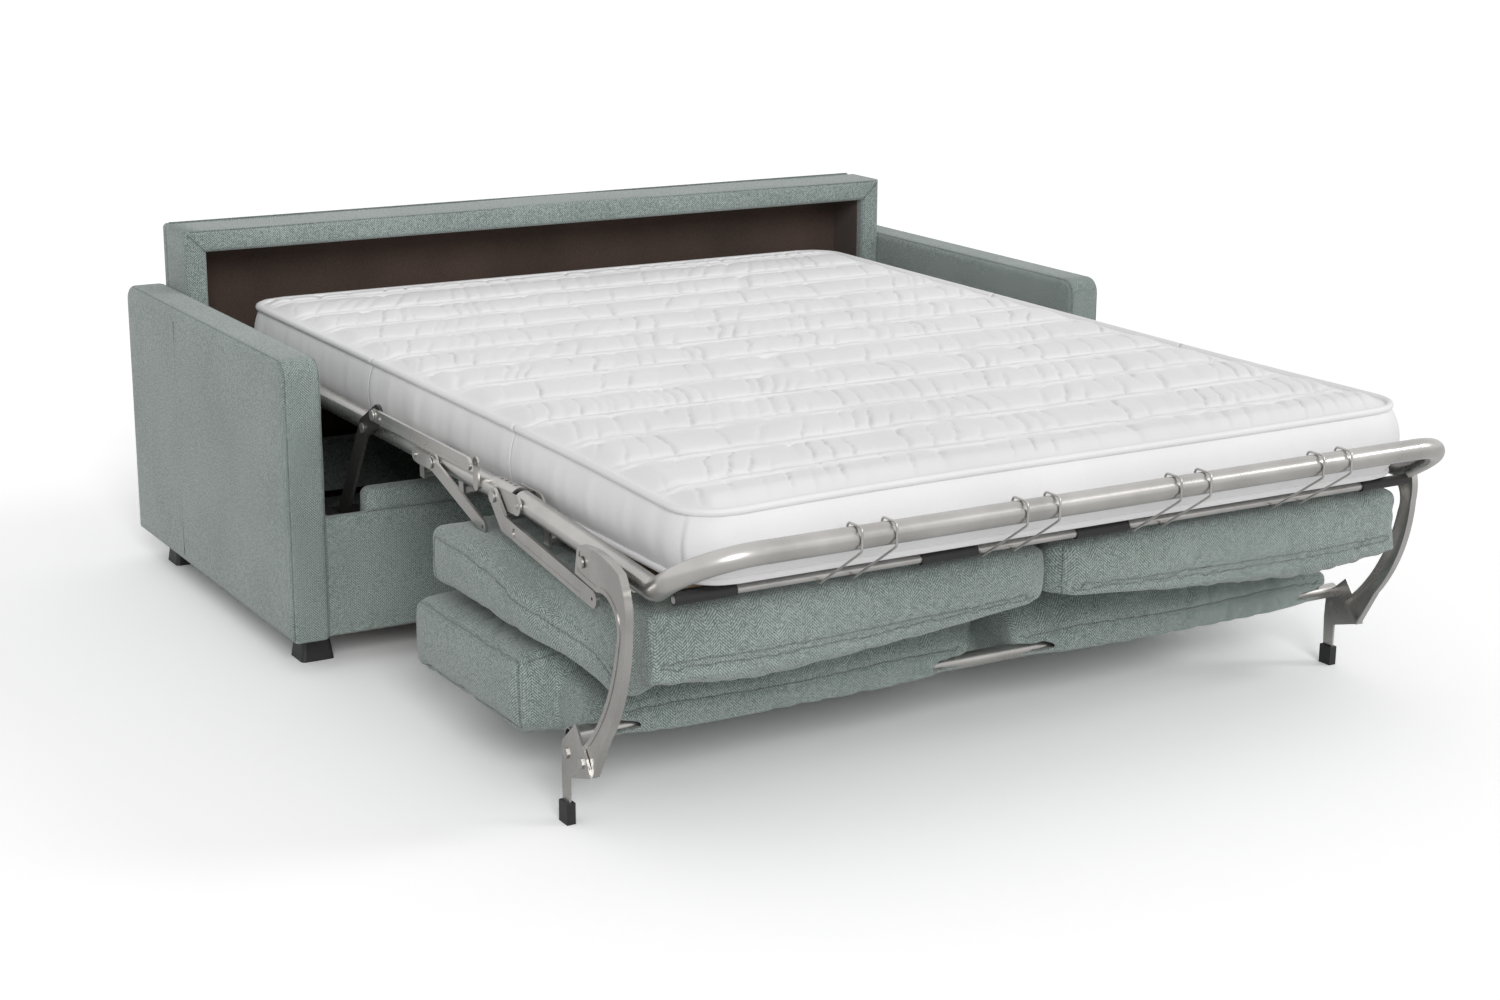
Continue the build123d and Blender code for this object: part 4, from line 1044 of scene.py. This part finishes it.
def finish_back(side, side_name, back):
    """Seams, creases and threads of one back cushion."""
    low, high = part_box("back_cushion_" + side_name)
    outer = max(abs(low[0]), abs(high[0]))
    around = on_surface(back, [(side * outer, at(y), z) for y, z in outline(BACK_SEAM, 24)])
    step = on_surface(back, [(side * x, at(0.345), 0.255) for x in np.linspace(0.06, 0.84, 70)])
    places = np.linspace(0.06, 0.78, 80)
    path = [(side * x, at(0.20), 0.185 + 0.004 * math.sin(11 * x)) for x in places]
    sleeve = on_surface(back, path)
    creases = []
    draw = np.random.default_rng(BACK_SEED + side)
    for _ in range(SLEEVE_CREASES):
        x = draw.uniform(0.06, 0.74)
        tilt = draw.uniform(-0.07, 0.07)
        path = []
        for t in np.linspace(0.1, draw.uniform(0.5, 1), 9):
            path.append((side * (x + tilt * t), at(0.20 + 0.02 * t), 0.125 + 0.10 * t))
        creases.append(on_surface(back, path))
    sew(back, [around, step], *BACK_GROOVE)
    sew(back, [sleeve], *SLEEVE_GROOVE)
    sew(back, creases, *BACK_CREASE)
    finish_cushion(back)
    dress(back, "back_unit", "upholstery", "back_cushion_" + side_name)
    threads = [on_surface(back, path) for path in (around, step, sleeve)]
    cords = tubes("back_cushion_seams_" + side_name, threads, THIN_CORD, seam_cloth)
    dress(cords, "back_unit", "upholstery")


def finish_cushion(piece):
    """One subdivision."""
    assign(piece.modifiers.new("fine", "SUBSURF"), levels=1, render_levels=1)


make_cushions()

# Camera at the photograph's place and angle, and studio

CAMERA_PLACE = Vector((-2.5478, at(-3.2428), 1.5823))
CAMERA_YAW, CAMERA_PITCH = math.radians(30.597), math.radians(14.934)
CAMERA_ROLL = math.radians(0.382)
CAMERA_LENS = 60.52

SKY_STRENGTH, WHITE_STRENGTH = 0.57, 1.0
LAMP_TILT = 62
LAMPS = (("key", 1.36, 24, -19), ("fill", 0.50, 16, 62))
FLOOR_HALF = 120.0
PAPER = (1.24, 1.24, 1.24, 1.0)
WHITE = (1.0, 1.0, 1.0, 1.0)


def make_camera():
    cos_yaw, sin_yaw = math.cos(CAMERA_YAW), math.sin(CAMERA_YAW)
    cos_pitch, sin_pitch = math.cos(CAMERA_PITCH), math.sin(CAMERA_PITCH)
    forward = Vector((sin_yaw * cos_pitch, cos_yaw * cos_pitch, -sin_pitch))
    level = Vector((cos_yaw, -sin_yaw, 0.0))
    upright = level.cross(forward)
    right = level * math.cos(CAMERA_ROLL) + upright * math.sin(CAMERA_ROLL)
    up = upright * math.cos(CAMERA_ROLL) - level * math.sin(CAMERA_ROLL)
    data = bpy.data.cameras.new("camera")
    assign(data, lens=CAMERA_LENS, sensor_width=36.0, clip_end=200.0)
    camera = bpy.data.objects.new("camera", data)
    turn = Matrix((right, up, -forward)).transposed()
    camera.matrix_world = Matrix.Translation(CAMERA_PLACE) @ turn.to_4x4()
    bpy.context.scene.collection.objects.link(camera)
    bpy.context.scene.camera = camera


def mix_shaders(tree, choice, plain, chosen, output):
    """Send one of two shaders to the output, by a choice of 0 or 1."""
    either = tree.nodes.new("ShaderNodeMixShader")
    for source, socket in zip((choice, plain, chosen), either.inputs):
        tree.links.new(source, socket)
    tree.links.new(either.outputs[0], tree.nodes[output].inputs["Surface"])


def make_studio():
    """Pale floor, white background, even sky and two soft lamps, from front left and right."""
    scene = bpy.context.scene
    scene.view_settings.view_transform = "Standard"
    world = bpy.data.worlds.new("studio")
    world.use_nodes = True
    tree = world.node_tree
    sky = tree.nodes["Background"]
    behind = tree.nodes.new("ShaderNodeBackground")
    for node, strength in ((sky, SKY_STRENGTH), (behind, WHITE_STRENGTH)):
        node.inputs["Color"].default_value = WHITE
        node.inputs["Strength"].default_value = strength
    rays = tree.nodes.new("ShaderNodeLightPath")
    seen = tree.nodes.new("ShaderNodeMath")
    seen.operation = "MAXIMUM"
    tree.links.new(rays.outputs["Is Camera Ray"], seen.inputs[0])
    tree.links.new(rays.outputs["Is Glossy Ray"], seen.inputs[1])
    mix_shaders(tree, seen.outputs[0], sky.outputs[0], behind.outputs[0], "World Output")
    scene.world = world

    for name, energy, angle, turn in LAMPS:
        sun = bpy.data.lights.new(name, "SUN")
        sun.energy = energy
        sun.angle = math.radians(angle)
        lamp = bpy.data.objects.new(name, sun)
        lamp.rotation_euler = (math.radians(LAMP_TILT), 0.0, math.radians(turn))
        scene.collection.objects.link(lamp)

    paint = Shader("floor_paint", (0.93, 0.93, 0.93), 0.8)
    drift = paint.noise(paint.place(), 0.6, 2.0)
    paint.paint(drift, ((0.0, (0.79, 0.79, 0.79)), (1.0, (0.81, 0.81, 0.81))))
    seen = paint.add("ShaderNodeLightPath").outputs["Is Camera Ray"]
    paper = paint.add("ShaderNodeBsdfDiffuse")
    paper.inputs["Color"].default_value = PAPER
    mix_shaders(paint.tree, seen, paint.bsdf.outputs[0], paper.outputs[0], "Material Output")
    size = FLOOR_HALF
    corners = [(-size, -size, 0.0), (size, -size, 0.0), (size, size, 0.0), (-size, size, 0.0)]
    floor = new_piece("floor", corners, [(0, 1, 2, 3)], paint.material)


make_camera()
make_studio()
